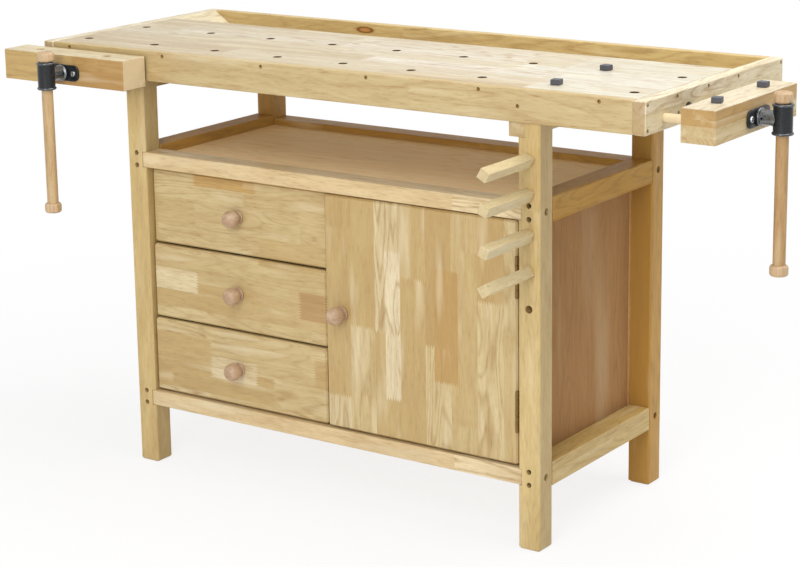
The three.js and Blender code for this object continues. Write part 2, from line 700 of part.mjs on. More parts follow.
// The nut behind the board: a plate and a long boss that the screw runs in.
function nutGeometry({ wall }) {
  const face = -wall - seat;
  const plateBack = face - nutPlateThickness;
  const halfLength = nutPlateLength / 2;
  const halfHeight = nutPlateHeight / 2;
  const plate = block([plateBack, face], [-halfLength, halfLength], [-halfHeight, halfHeight]);
  const boss = bar(nutBossDiameter, [plateBack - nutBossLength, 0, 0], [face - seat, 0, 0]);
  const bore = bar(screwDiameter + boreRoom, [plateBack - nutBossLength - seat, 0, 0], [face + seat, 0, 0]);
  return cut(join(plate, boss), [bore]);
}

function addVise(vise) {
  const group = new THREE.Group();
  group.applyMatrix4(vise.frame);
  bench.add(group);
  const { name } = vise;
  const outer = vise.opening + jawThickness;
  const face = outer + seat;
  addPiece(`${name}_vise_jaw`, jawGeometry(vise), rubberwood, group);
  addPiece(`${name}_vise_flange`, flangeGeometry(face), castIron, group);
  addPiece(`${name}_vise_screw`, screwGeometry(vise, face), castIron, group);
  addPiece(`${name}_vise_handle`, handleGeometry(), turnedWood, group).position.x = outer + hubStand;
  addPiece(`${name}_vise_nut`, nutGeometry(vise), castIron, group);
}

// A bench dog: a square head on a round shank, turned a little in its hole.
function addDog(name, x, y, level, turn) {
  const half = dogHead / 2;
  const head = board([-half, half], [-half, half], [0, dogHeadHeight], ease / 2);
  const shankTop = [0, 0, dogHeadHeight / 2];
  const shank = bar(dogHoleDiameter - boreRoom, [0, 0, -dogShankLength], shankTop, boreSides);
  const dog = addPiece(name, join(head, shank), dogPlastic);
  dog.position.set(x, y, level + seat / 2);
  dog.rotation.z = turn * degree;
}

function addDogs() {
  const jawMiddle = halfTop + tailViseOpening + jawThickness / 2;
  const jawTop = benchHeight - tailViseDrop;
  const halfRow = dogRowSpacing / 2;
  addDog('front_bench_dog', dogPlaces[dogHole], dogRows[0], benchHeight, dogTurns[0]);
  addDog('back_bench_dog', dogPlaces[dogHole], dogRows[1], benchHeight, dogTurns[1]);
  addDog('front_jaw_dog', jawMiddle, tailViseInset - halfRow, jawTop, dogTurns[2]);
  addDog('back_jaw_dog', jawMiddle, tailViseInset + halfRow, jawTop, dogTurns[3]);
}

// Support pegs: square bars with a round tenon, each turned by chance in its hole.
function addPegs() {
  const half = pegSection / 2;
  pegNames.forEach((name, index) => {
    const square = board([-half, half], [-pegLength, 0], [-half, half], ease / 2);
    const tenon = bar(pegTenonDiameter, [0, -half, 0], [0, pegTenonLength, 0], boreSides);
    const peg = addPiece(`${name}_peg`, join(square, tenon), rubberwood);
    peg.position.set(legMiddle, legFront - seat / 2, pegLevels[index]);
    peg.rotation.y = pegTurns[index] * degree;
  });
}

addWorktop();
addApron();
addEndBoard('left_end_board', -1, []);
addEndBoard('right_end_board', 1, viseBores(tailVise));
addTray();
addBearers();
addLegs();
addRails();
addPanels();
addDrawers();
addDoor();
addVise(faceVise);
addVise(tailVise);
addDogs();
addPegs();

// The origin is on the floor, below the middle of the whole bench.
bench.updateMatrixWorld(true);
const outside = new THREE.Box3().setFromObject(bench);
const middle = outside.getCenter(new THREE.Vector3());
bench.position.set(-middle.x, -middle.y, -outside.min.z);

export default bench;
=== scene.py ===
# %% [markdown]
# # A joiner's bench with two vises
#
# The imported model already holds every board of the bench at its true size. This lesson dresses it: a
# camera and a plain studio first, then the woods and metals, and last the turned and cast pieces whose
# round forms need a finer mesh than the solids have. A piece that stands for a solid takes its place from
# that solid's box, and only screws, bolts and notches are placed by their own measures.

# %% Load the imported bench
import math

import bmesh
import bpy
from mathutils import Matrix, Quaternion, Vector


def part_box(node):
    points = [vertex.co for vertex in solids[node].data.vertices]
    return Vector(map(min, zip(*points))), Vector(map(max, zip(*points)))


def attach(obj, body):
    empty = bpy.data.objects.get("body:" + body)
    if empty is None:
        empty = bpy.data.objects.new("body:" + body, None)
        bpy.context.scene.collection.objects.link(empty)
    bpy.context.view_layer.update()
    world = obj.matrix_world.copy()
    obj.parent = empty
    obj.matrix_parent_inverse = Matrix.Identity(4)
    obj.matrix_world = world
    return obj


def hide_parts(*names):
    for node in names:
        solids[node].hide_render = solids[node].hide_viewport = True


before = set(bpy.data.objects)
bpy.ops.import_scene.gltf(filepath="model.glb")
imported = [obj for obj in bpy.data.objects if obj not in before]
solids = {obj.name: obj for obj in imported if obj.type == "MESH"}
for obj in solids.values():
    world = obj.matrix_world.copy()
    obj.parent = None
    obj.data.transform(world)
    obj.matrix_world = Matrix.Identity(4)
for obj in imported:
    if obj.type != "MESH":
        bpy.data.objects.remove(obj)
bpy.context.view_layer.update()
MM = 0.001
scene = bpy.context.scene

# %% [markdown]
# ## Camera
#
# The picture was taken from the right of the bench and a little above it. The camera's place, turn and lens
# were worked out from about forty corners of the bench, measured from the front left corner of the top. A
# small downward shift keeps the uprights nearly parallel, as the photographer's lens did.

# %% Camera
PICTURE_WIDTH = 800
FOCAL_PIXELS = 2186.7
SHIFT_PIXELS = -60
SENSOR = 36
FROM_CORNER = Vector((3.1033, -3.2054, 1.5180))
TURN, TILT, ROLL = (math.radians(angle) for angle in (-34.824, -13.471, -0.837))
camera_data = bpy.data.cameras.new("camera")
camera_data.sensor_width = SENSOR
camera_data.lens = FOCAL_PIXELS * SENSOR / PICTURE_WIDTH
camera_data.shift_y = SHIFT_PIXELS / PICTURE_WIDTH
camera = bpy.data.objects.new("camera", camera_data)
scene.collection.objects.link(camera)
top_corner = Vector((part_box("left_end_board")[0].x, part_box("front_apron")[0].y, 0))
camera.location = top_corner + FROM_CORNER
look = Vector((math.sin(TURN) * math.cos(TILT), math.cos(TURN) * math.cos(TILT), math.sin(TILT)))
camera.rotation_mode = "QUATERNION"
camera.rotation_quaternion = look.to_track_quat("-Z", "Y") @ Quaternion((0, 0, 1), ROLL)
scene.camera = camera
print("lens", round(camera_data.lens, 1), "mm")

# %% [markdown]
# ## Helpers for materials
#
# Colours are written as the hex values a paint program shows. The shader works in linear light, so one
# function converts them. Another adds a node, sets it up and links it in one line. The others use it for
# the kinds of node that occur most: sums, sums of vectors, noises, spans of values, and mixes of two colours.

# %% Colour and node helpers
FACTOR, COLOUR_A, COLOUR_B, MIXED = 0, 6, 7, 2  # sockets of a Mix node that mixes colours


def linear(hex_colour):
    """Turns an sRGB hex colour into the linear values that shaders use."""
    channels = [int(hex_colour[place:place + 2], 16) / 255 for place in (1, 3, 5)]
    return [c / 12.92 if c <= 0.04045 else ((c + 0.055) / 1.055) ** 2.4 for c in channels] + [1]


def add_node(tree, kind, inputs=None, **settings):
    """Adds a node. An input is a plain value, or the socket that it is linked from."""
    made = tree.nodes.new(kind)
    for name, value in settings.items():
        setattr(made, name, value)
    for socket, value in (inputs or {}).items():
        if isinstance(value, bpy.types.NodeSocket):
            tree.links.new(value, made.inputs[socket])
        else:
            made.inputs[socket].default_value = value
    return made


def worked_out(tree, operation, *values, **settings):
    """The result of a sum on plain values and sockets."""
    inputs = dict(enumerate(values))
    return add_node(tree, "ShaderNodeMath", inputs, operation=operation, **settings).outputs[0]


def vector_sum(tree, operation, *values):
    """The result of a sum on vectors."""
    inputs = dict(enumerate(values))
    return add_node(tree, "ShaderNodeVectorMath", inputs, operation=operation).outputs[0]


def noise(tree, place, width, detail, roughness, distortion=0, **settings):
    """A cloudy noise. Its largest clouds are about as wide as given, in metres."""
    inputs = {"Vector": place, "Scale": 1 / width, "Detail": detail, "Roughness": roughness}
    inputs["Distortion"] = distortion
    return add_node(tree, "ShaderNodeTexNoise", inputs, **settings).outputs[0]


def mapped(tree, value, span, onto=(0, 1)):
    """Lays a span of values onto another one, and keeps what lies outside at its ends."""
    spans = {"Value": value, "From Min": span[0], "From Max": span[1], "To Min": onto[0], "To Max": onto[1]}
    return add_node(tree, "ShaderNodeMapRange", spans).outputs[0]


def blended(tree, share, first, second):
    """A mix of two colours. A share of 0 gives the first one."""
    inputs = {FACTOR: share, COLOUR_A: first, COLOUR_B: second}
    return add_node(tree, "ShaderNodeMix", inputs, data_type="RGBA").outputs[MIXED]


# %% [markdown]
# ## Studio
#
# The picture is a cut-out on white. A floor and a world that show white to the camera give that, while the
# light that falls on the bench stays soft and plain. Near the bench the floor also has a share of ordinary
# matt white, so the bench keeps a faint shadow under its feet. Lacquer and metal see the same white room.

# %% White floor and world
FLOOR_GLOW = 0.82
GLOW_FROM = 0.7  # metres from the middle of the bench to where the floor starts to turn all white
GLOW_TO = 2.2
AMBIENT = 0.5


def seen_directly(tree):
    """Gives 1 where a ray comes from the camera, a reflection or glass, and 0 for light on the bench."""
    path = add_node(tree, "ShaderNodeLightPath").outputs
    mirrored = worked_out(tree, "MAXIMUM", path["Is Glossy Ray"], path["Is Transmission Ray"])
    return worked_out(tree, "MAXIMUM", path["Is Camera Ray"], mirrored)


world = bpy.data.worlds.new("studio")
world.use_nodes = True
scene.world = world
world_tree = world.node_tree
sky = world_tree.nodes["Background"]
sky.inputs["Color"].default_value = linear("#ffffff")
strength = worked_out(world_tree, "MULTIPLY_ADD", seen_directly(world_tree), 1 - AMBIENT, AMBIENT)
world_tree.links.new(strength, sky.inputs["Strength"])

floor_paint = bpy.data.materials.new("white_studio_floor")
floor_paint.use_nodes = True
floor_tree = floor_paint.node_tree
floor_tree.nodes.remove(floor_tree.nodes["Principled BSDF"])
matt = add_node(floor_tree, "ShaderNodeBsdfDiffuse", {"Color": linear("#f4f4f4")})
glow = add_node(floor_tree, "ShaderNodeEmission", {"Color": linear("#ffffff")})
away = add_node(floor_tree, "ShaderNodeTexCoord").outputs["Object"]
reach = add_node(floor_tree, "ShaderNodeVectorMath", {0: away}, operation="LENGTH").outputs["Value"]
whiter = mapped(floor_tree, reach, (GLOW_FROM, GLOW_TO), (FLOOR_GLOW, 1))
glow_share = worked_out(floor_tree, "MULTIPLY", seen_directly(floor_tree), whiter)
surfaces = {0: glow_share, 1: matt.outputs[0], 2: glow.outputs[0]}
floor_mix = add_node(floor_tree, "ShaderNodeMixShader", surfaces)
floor_tree.links.new(floor_mix.outputs[0], floor_tree.nodes["Material Output"].inputs["Surface"])

FLOOR_SIZE = 40
floor_shape = bmesh.new()
bmesh.ops.create_grid(floor_shape, x_segments=1, y_segments=1, size=FLOOR_SIZE / 2)
floor_mesh = bpy.data.meshes.new("floor")
floor_shape.to_mesh(floor_mesh)
floor_shape.free()
floor_mesh.materials.append(floor_paint)
floor = bpy.data.objects.new("floor", floor_mesh)
scene.collection.objects.link(floor)
scene.view_settings.view_transform = "Standard"
print("floor", FLOOR_SIZE, "m")

# %% [markdown]
# The knobs' shadows in the picture fall straight down and a little to the left, so the main lamp stands
# high in front of the bench and slightly to its right. A lower one reaches in under the top to the shelf,
# and one overhead whitens the worktop.

# %% Soft lamps
middle = Vector((0, 0, 0.6))
lamps = {
    "main_softbox": ((0.9, -3.3, 3.6), 1.8, 49),
    "low_softbox": ((1.0, -4.1, 1.8), 1.8, 55),
    "overhead_softbox": ((1.2, 0.5, 3.2), 2.2, 66),
}
for name, (spot, size, watts) in lamps.items():
    lamp_data = bpy.data.lights.new(name, "AREA")
    lamp_data.size = size
    lamp_data.energy = watts
    lamp = bpy.data.objects.new(name, lamp_data)
    lamp.location = spot
    lamp.rotation_euler = (middle - lamp.location).to_track_quat("-Z", "Y").to_euler()
    scene.collection.objects.link(lamp)
print("lamps", len(lamps))

# %% [markdown]
# ## Rubberwood
#
# The boards are lacquered rubberwood: short lengths joined end to end by zigzag finger joints into long
# strips, and the strips glued side by side. One material builds all of that from the point's place on the
# board. Dividing by the strip's width gives the strip's number, and dividing along the grain gives the
# length's number. Both numbers together pick a tone and a piece of grain by chance, so that no two lengths
# look alike. A triangle wave added along the grain draws the fingers. The flame figure of a sawn board is
# drawn as a map draws hills: a slow noise gives the heights, and its contour lines are the year rings.
# Where a face looks along the grain it shows end grain, which is browner.

# %% Lengths and strips
FINGER_PITCH = 5.5 * MM  # real fingers are about 4 mm apart, drawn wider so that they show
FINGER_LENGTH = 8.0 * MM
STRIP_SHIFT = 0.37  # share of a strip by which every seed shifts the strips
SHUFFLE = 17.3  # keeps the chance values of two seeds apart
FIRST_CHANCE = 3.1
LENGTHS_SHIFT = 13.7  # how many lengths a strip is shifted along by chance, at most


def lengths_of_wood(tree, axis, along, across, strip_mm, length_mm, seed):
    """Gives chance values for every glued length, and the place along the grain with the fingers added."""
    strips = worked_out(tree, "MULTIPLY_ADD", axis[across], 1 / (strip_mm * MM), STRIP_SHIFT * seed)
    strip = worked_out(tree, "FLOOR", strips)
    shuffled = worked_out(tree, "ADD", strip, SHUFFLE * seed + FIRST_CHANCE)
    start = add_node(tree, "ShaderNodeTexWhiteNoise", {"W": shuffled}, noise_dimensions="1D").outputs["Value"]
    teeth = worked_out(tree, "PINGPONG", axis[across], FINGER_PITCH / 2)
    toothed = worked_out(tree, "MULTIPLY_ADD", teeth, 2 * FINGER_LENGTH / FINGER_PITCH, axis[along])
    offset = worked_out(tree, "MULTIPLY", start, LENGTHS_SHIFT)
    lengths = worked_out(tree, "MULTIPLY_ADD", toothed, 1 / (length_mm * MM), offset)
    length = worked_out(tree, "FLOOR", lengths)
    numbers = {"X": strip, "Y": length, "Z": seed + 0.5}
    address = add_node(tree, "ShaderNodeCombineXYZ", numbers).outputs[0]
    chance = add_node(tree, "ShaderNodeTexWhiteNoise", {"Vector": address}, noise_dimensions="3D").outputs
    return chance, toothed


def tone_of_length(tree, chance, toothed, level, tones, picked):
    """A tone by chance from a ramp. A picked length has a given tone: the middles of its length and width,
    half of each, and the colour."""
    ramp = add_node(tree, "ShaderNodeValToRGB", {"Fac": chance["Value"]})
    while len(ramp.color_ramp.elements) < len(tones):
        ramp.color_ramp.elements.new(0.5)
    for element, (position, colour) in zip(ramp.color_ramp.elements, tones):
        element.position = position
        element.color = linear(colour)
    tone = ramp.outputs["Color"]
    for middle_along, half_along, middle_across, half_across, colour in picked:
        inside_along = worked_out(tree, "COMPARE", toothed, middle_along, half_along)
        inside_across = worked_out(tree, "COMPARE", level, middle_across, half_across)
        inside = worked_out(tree, "MULTIPLY", inside_along, inside_across)
        tone = blended(tree, inside, tone, linear(colour))
    return tone


# %% [markdown]
# Each length is cut from another part of a tree, so its grain is looked up in another part of the noise.
# Some lengths are sawn so that they show flames and some show only straight streaks, which chance decides
# as well.

# %% Grain
STREAK_WIDTH = 17.0 * MM
FLAME_WIDTH = 56.0 * MM
FLAME_LINES = 12  # contour lines from the noise's lowest value to its highest
PORE_WIDTH = 2.3 * MM  # real pores are hair lines, drawn this wide so that they show
GRAIN_STRETCH = 7  # how much longer than wide the figure is
PORE_STRETCH = 11
STREAK_BROWN = 0.36  # share of the grain's brown in the strongest streak, flame line and pore
FLAME_BROWN = 0.44
PORE_BROWN = 0.4
PORE_ROUGH = 0.15  # how much rougher the pores are than the wood between them
CUT_APART = 5  # metres of noise between one length and the next, at most


def grain_of_length(tree, place, chance, along, figure, cloud_mm):
    """Gives how brown the streaks and flames are, how brown the pores are, and the noise of pale clouds."""
    squeeze = [1 / GRAIN_STRETCH if letter == along else 1 for letter in "XYZ"]
    fibres = vector_sum(tree, "MULTIPLY", place, squeeze)
    cut = vector_sum(tree, "MULTIPLY_ADD", chance["Color"], (CUT_APART, CUT_APART, CUT_APART), fibres)
    streaks = noise(tree, cut, STREAK_WIDTH, detail=4, roughness=0.62, distortion=0.5)
    streaked = mapped(tree, streaks, (0.36, 0.68), (0, STREAK_BROWN * figure))
    hills = noise(tree, cut, FLAME_WIDTH, detail=2, roughness=0.4, distortion=0.3)
    heights = worked_out(tree, "MULTIPLY", hills, FLAME_LINES)
    contours = worked_out(tree, "PINGPONG", heights, 0.5)
    lines = mapped(tree, contours, (0, 0.24), (FLAME_BROWN * figure, 0))
    liking = add_node(tree, "ShaderNodeSeparateXYZ", {"Vector": chance["Color"]}).outputs["X"]
    strength = mapped(tree, liking, (0.25, 0.85), (0.15, 1))
    brown = worked_out(tree, "MULTIPLY_ADD", lines, strength, streaked)
    thin = [1 / PORE_STRETCH if letter == along else 1 for letter in "XYZ"]
    thinned = vector_sum(tree, "MULTIPLY", place, thin)
    pore_noise = noise(tree, thinned, PORE_WIDTH, detail=2, roughness=0.6)
    pores = mapped(tree, pore_noise, (0.52, 0.74), (0, PORE_BROWN))
    clouds = noise(tree, cut, cloud_mm * MM, detail=2, roughness=0.5, noise_dimensions="4D")
    return brown, pores, clouds


# %% Rubberwood
SAPWOOD = "#e4d6b4"


def timber(name, along, across, strip_mm, length_mm, tones, grain="#a07c46", seed=0, figure=1.0, rough=0.42,
           picked=(), ends=0.34, end_tone=None, clouding=0.5, cloud_mm=34, gloss=0.5):
    """Lacquered wood. Along and across are the axes of the grain and of the strips' widths. Ends says how
    much the end grain turns to its own tone, clouding how pale the clouds of sapwood are, and gloss how much
    the lacquer mirrors, where 0.5 is usual."""
    material = bpy.data.materials.new(name)
    material.use_nodes = True
    tree = material.node_tree
    shader = tree.nodes["Principled BSDF"]
    shader.inputs["Specular IOR Level"].default_value = gloss
    spot = add_node(tree, "ShaderNodeTexCoord").outputs
    axis = add_node(tree, "ShaderNodeSeparateXYZ", {"Vector": spot["Object"]}).outputs
    chance, toothed = lengths_of_wood(tree, axis, along, across, strip_mm, length_mm, seed)
    tone = tone_of_length(tree, chance, toothed, axis[across], tones, picked)
    brown, pores, clouds = grain_of_length(tree, spot["Object"], chance, along, figure, cloud_mm)

    browner = worked_out(tree, "ADD", brown, pores, use_clamp=True)
    long_grain = blended(tree, browner, tone, linear(grain))
    looking = add_node(tree, "ShaderNodeSeparateXYZ", {"Vector": spot["Normal"]}).outputs[along]
    end_on = worked_out(tree, "ABSOLUTE", looking)
    end_share = mapped(tree, end_on, (0.75, 0.97), (0, ends))
    grained = blended(tree, end_share, long_grain, linear(end_tone or grain))
    cloudy = mapped(tree, clouds, (0.56, 0.74), (0, clouding * figure))
    colour = blended(tree, cloudy, grained, linear(SAPWOOD))
    tree.links.new(colour, shader.inputs["Base Color"])
    roughness = mapped(tree, pores, (0, PORE_BROWN), (rough, rough + PORE_ROUGH))
    tree.links.new(roughness, shader.inputs["Roughness"])
    raised = {"Height": browner, "Strength": 0.12, "Distance": 0.4 * MM}
    bump = add_node(tree, "ShaderNodeBump", raised, invert=True).outputs[0]
    tree.links.new(bump, shader.inputs["Normal"])
    return material


def dress(names, material):
    """Gives CAD solids a finish."""
    for name in names:
        solids[name].data.materials.clear()
        solids[name].data.materials.append(material)


# %% [markdown]
# Every kind of board has its own grain direction, strip width and choice of tones. A few lengths stand
# out in the picture, such as the brown one in the door and the short one at the end of the middle drawer.
# Those are picked by their place along the bench, measured from the left end of the top, and by their two
# edges across the grain: levels above the floor, or depths from the bench's middle for the whiter lengths
# at the right end of the worktop, which are a painted sheen of light. A thin darker skin on the right sides
# of the front legs is painted shade, and a paler skin on the tops of the jaws is a painted highlight along
# their top edges. The back legs, the back rails and the upper side rails have a deeper, oranger tone that is
# partly the wood's and partly painted shade under the top; they mirror less, which keeps it from washing out.

# %% Rubberwood boards
pale = [(0, "#bcab8a"), (0.15, "#c5b898"), (0.5, "#cec5ab"), (0.85, "#d5cdb8"), (1, "#ddd7c7")]
mixed_staves = [(0, "#b89a64"), (0.2, "#c1a771"), (0.5, "#c8b17f"), (0.8, "#ceb988"), (1, "#d4c298")]
straw = [(0, "#c1aa77"), (0.5, "#c9b485"), (1, "#d0be93")]
rose_straw = [(0, "#d8be8f"), (0.5, "#e0c89b"), (1, "#e7d3ab")]
cream = [(0, "#d0be92"), (0.5, "#d6c89f"), (1, "#ddd1ae")]
yellow_straw = [(0, "#ccb177"), (0.5, "#d1b980"), (1, "#d7c28b")]
honey = [(0, "#bb985c"), (0.5, "#c4a468"), (1, "#cdb278")]
golden = [(0, "#c0a363"), (0.5, "#c7ac6c"), (1, "#cfb678")]
# Deeper and oranger: partly the wood's tone, partly painted shade of the parts under the top.
shaded_amber = [(0, "#b2863f"), (0.5, "#ba8e48"), (1, "#c29852")]
ivory = [(0, "#dbcea8"), (0.5, "#e2d7b6"), (1, "#e8dfc4")]


def picked_length(axis, low, high, base, top, colour):
    """A length by its ends along the bench and its two edges. The axis is the one that its grain follows."""
    ends = ((low + high) / 2 * MM + top_corner.x, (high - low) / 2 * MM)
    levels = ((base + top) / 2 * MM, (top - base) / 2 * MM)
    return (*ends, *levels, colour) if axis == "X" else (*levels, *ends, colour)


drawer_lengths = [picked_length("X", 628, 690, 358, 412, "#b28f5e"),
                  picked_length("X", 368, 520, 592, 640, "#c19c5c"),
                  picked_length("X", 250, 372, 372, 416, "#dccba2"),
                  picked_length("X", 405, 520, 206, 250, "#d6c49c")]
door_lengths = [picked_length("Z", 940, 992, 292, 507, "#b9955a"),
                picked_length("Z", 830, 864, 240, 528, "#dfd0ac")]
# The whiter, greyer lengths at the right end of the worktop are a painted sheen of light.
top_sheen_lengths = [picked_length("X", 1130, 1400, -195.5, -79.5, "#d4d0bd"),
               picked_length("X", 1010, 1400, -79.5, 36.5, "#d7d4c4"),
               picked_length("X", 1090, 1400, 36.5, 210.5, "#d2ceba")]
boards = {
    "worktop_strips": ("X", "Y", 58, 420, pale, 1, ["worktop"]),
    "apron_strips": ("X", "Z", 60, 620, straw, 2, ["front_apron", "tray_front"]),
    "tray_strips": ("X", "Z", 60, 700, yellow_straw, 14, ["tray_back"]),
    "end_board_strips": ("Y", "Z", 60, 900, ivory, 3, ["left_end_board", "right_end_board"]),
    "front_leg_strips": ("Z", "X", 90, 1400, yellow_straw, 4, ["front_left_leg", "front_right_leg"]),
    "back_leg_strips": ("Z", "X", 90, 1400, shaded_amber, 15, ["back_left_leg", "back_right_leg"]),
    "front_rail_strips": ("X", "Y", 46, 520, rose_straw, 5, ["upper_front_rail", "lower_front_rail"]),
    "back_rail_strips": ("X", "Y", 46, 700, shaded_amber, 16, ["upper_back_rail", "lower_back_rail"]),
    "upper_rail_strips": ("Y", "Z", 80, 900, shaded_amber, 17, ["upper_left_rail", "upper_right_rail"]),
    "lower_rail_strips": ("Y", "Z", 80, 900, golden, 6, ["lower_left_rail", "lower_right_rail"]),
    "bearer_strips": ("Y", "X", 90, 900, straw, 7, ["left_bearer", "right_bearer"]),
    "drawer_front_strips": ("X", "Z", 56, 260, mixed_staves, 8, [
        "top_drawer_front", "middle_drawer_front", "bottom_drawer_front"]),
    "door_strips": ("Z", "X", 57, 330, mixed_staves, 9, ["door_panel"]),
    "face_jaw_strips": ("X", "Z", 31, 400, honey, 10, ["left_vise_jaw"]),
    "tail_jaw_strips": ("Y", "Z", 31, 700, honey, 11, ["right_vise_jaw"]),
    "peg_wood": ("Y", "X", 90, 900, cream, 12, ["top_peg", "upper_peg", "lower_peg", "bottom_peg"]),
    "drawer_box_wood": ("Y", "Z", 200, 900, straw, 13, [
        "top_drawer_box", "middle_drawer_box", "bottom_drawer_box"]),
}
EDGE = 1.2 * MM  # a picked length this thin is only the skin of a face
WHOLE = (0, 9)  # a middle, and a half in metres that takes in all of a board
jaw_top, jaw_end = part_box("left_vise_jaw")[1].z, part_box("left_vise_jaw")[1].x
tail_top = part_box("right_vise_jaw")[1].z
# The last skin of each jaw is paler, a painted highlight on its top face and top edge.
face_jaw_tones_and_highlight = [(jaw_end, 190 * MM, jaw_top - 43 * MM, 17.5 * MM, "#b38a50"),
                    (jaw_end, 130 * MM, jaw_top - 13 * MM, 12.5 * MM, "#bc955b"),
                    (*WHOLE, jaw_top, EDGE, "#dccfa9")]
tail_jaw_tones_and_highlight = [(*WHOLE, tail_top - 15 * MM, 14.5 * MM, "#be9a5f"),
                    (*WHOLE, tail_top - 47 * MM, 17.5 * MM, "#cfba8c"),
                    (*WHOLE, tail_top, EDGE, "#d8cdb0")]
# A darker skin on the right side of each front leg is painted shade.
leg_side_shade = [(*WHOLE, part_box(f"front_{side}_leg")[1].x, EDGE, "#c0a873") for side in ("left", "right")]
special = {
    "worktop_strips": {"picked": top_sheen_lengths},
    "end_board_strips": {"ends": 0.65},
    "drawer_front_strips": {"picked": drawer_lengths},
    "door_strips": {"picked": door_lengths},
    "front_leg_strips": {"picked": leg_side_shade, "clouding": 0.2},
    "back_leg_strips": {"clouding": 0.2, "gloss": 0.2},
    "back_rail_strips": {"gloss": 0.1},
    "upper_rail_strips": {"clouding": 0.1, "gloss": 0.05},
    "face_jaw_strips": {"picked": face_jaw_tones_and_highlight, "ends": 0.8, "end_tone": "#d2bf9b"},
    "tail_jaw_strips": {"picked": tail_jaw_tones_and_highlight, "ends": 0.2},
    "peg_wood": {"figure": 0.6, "ends": 0.1},
    "drawer_box_wood": {"figure": 0.3, "ends": 0.05, "rough": 0.6},
}
for name, (along, across, strip, length, tones, seed, names) in boards.items():
    dress(names, timber(name, along, across, strip, length, tones, seed=seed, **special.get(name, {})))
print("rubberwood finishes", len(boards))

# %% [markdown]
# ## Plywood
#
# The cabinet's sides, its floor and the shelf are plywood. Its face is peeled off the log like paper off
# a roll, so it has no strips or joints, and the grain wanders. The same wood material gives that with one
# very wide strip. The panels are bare, so they are rougher than the lacquered boards. The sides have
# broad smoky clouds and mirror little.

# %% Plywood panels
ONE_SHEET = 4000
pink_ply = [(0, "#a67d50"), (1, "#ae8557")]
tan_ply = [(0, "#deb273"), (1, "#e4ba7d")]
pale_ply = [(0, "#fadcaa"), (1, "#fde4b6")]
panels = {
    "side_plywood": ("Z", "Y", pink_ply, "#97704c", 31, [
        "left_side_panel", "right_side_panel", "divider_panel"]),
    "shelf_plywood": ("X", "Y", pale_ply, "#e6b97c", 32, ["shelf_panel", "bottom_panel"]),
    "tray_plywood": ("X", "Y", straw, "#a58450", 34, ["tray_bottom"]),
    "back_plywood": ("X", "Z", tan_ply, "#a8763c", 33, ["back_panel"]),
}
bare = {"rough": 0.7, "figure": 0.8, "clouding": 0.12}
smoky = {"rough": 0.7, "figure": 1.0, "clouding": 0.2, "cloud_mm": 80, "gloss": 0.1}
for name, (along, across, tones, grain, seed, names) in panels.items():
    manner = smoky if name == "side_plywood" else bare
    dress(names, timber(name, along, across, ONE_SHEET, 2 * ONE_SHEET, tones, grain, seed, **manner))
print("plywood finishes", len(panels))

# %% [markdown]
# ## A knot
#
# The back of the tray has one knot, an eye of red-brown wood in a dark rim. It is painted over the finished
# wood: the distance from its middle, measured in knot sizes, picks a colour on a ramp.

# %% Knot in the tray's back
KNOT_SIZE = Vector((25, 18, 7.5)) * MM
KNOT_ALONG = 429 * MM
KNOT_LEVEL = 841 * MM
knot_middle = Vector((top_corner.x + KNOT_ALONG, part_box("tray_back")[0].y, KNOT_LEVEL))
tray_tree = solids["tray_back"].data.materials[0].node_tree
tray_shader = tray_tree.nodes["Principled BSDF"]
wood_colour = tray_shader.inputs["Base Color"].links[0].from_socket
tray_place = add_node(tray_tree, "ShaderNodeTexCoord").outputs["Object"]
scaled = [1 / size for size in KNOT_SIZE]
centred = [-place * scale for place, scale in zip(knot_middle, scaled)]
from_middle = vector_sum(tray_tree, "MULTIPLY_ADD", tray_place, scaled, centred)
distance = add_node(tray_tree, "ShaderNodeVectorMath", {0: from_middle}, operation="LENGTH").outputs["Value"]
knot = add_node(tray_tree, "ShaderNodeValToRGB", {"Fac": distance})
for position, colour in ((0.45, "#b57f45"), (0.72, "#6a4519")):
    knot.color_ramp.elements.new(position).color = linear(colour)
knot.color_ramp.elements[0].color = linear("#c08a50")
knot.color_ramp.elements[-1].color = linear("#a9803f")
outside = mapped(tray_tree, distance, (0.8, 1.15))
with_knot = blended(tray_tree, outside, knot.outputs["Color"], wood_colour)
tray_tree.links.new(with_knot, tray_shader.inputs["Base Color"])
print("knot at", [round(value, 3) for value in knot_middle])

# %% [markdown]
# ## Walls of the dog holes
#
# The walls of the dog holes are painted darker than the planed top, as the shade that falls inside the
# holes. They are the upright faces that lie in from the long edges of the worktop, so the direction of the
# surface and its place together say where to darken it.

# %% Painted shade in the dog holes
EDGE_MARGIN = 5 * MM
top_tree = solids["worktop"].data.materials[0].node_tree
top_shader = top_tree.nodes["Principled BSDF"]
planed_colour = top_shader.inputs["Base Color"].links[0].from_socket
top_spot = add_node(top_tree, "ShaderNodeTexCoord").outputs
upward = add_node(top_tree, "ShaderNodeSeparateXYZ", {"Vector": top_spot["Normal"]}).outputs["Z"]
uprightness = worked_out(top_tree, "SUBTRACT", 1, worked_out(top_tree, "ABSOLUTE", upward))
depth = add_node(top_tree, "ShaderNodeSeparateXYZ", {"Vector": top_spot["Object"]}).outputs["Y"]
near, far = (corner.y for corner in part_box("worktop"))
margins = ((near + far) / 2, (far - near) / 2 - EDGE_MARGIN)
among_holes = worked_out(top_tree, "COMPARE", depth, *margins)
hole_shade = worked_out(top_tree, "MULTIPLY", uprightness, among_holes)
# The dark brown is painted shade inside the holes.
with_holes = blended(top_tree, hole_shade, planed_colour, linear("#57422a"))
top_tree.links.new(with_holes, top_shader.inputs["Base Color"])
print("drilled walls within", round(far - near - 2 * EDGE_MARGIN, 3), "m")

# %% [markdown]
# ## Metals and plastic
#
# The castings are painted black over a sandy skin, the small screws are plated, the hinges brassed, and the
# bench dogs are moulded in a dark plastic with a dull spark finish. Each finish wanders between two
# colours in a fine mottle, which also changes how sharply it shines.

# %% Mottled finishes


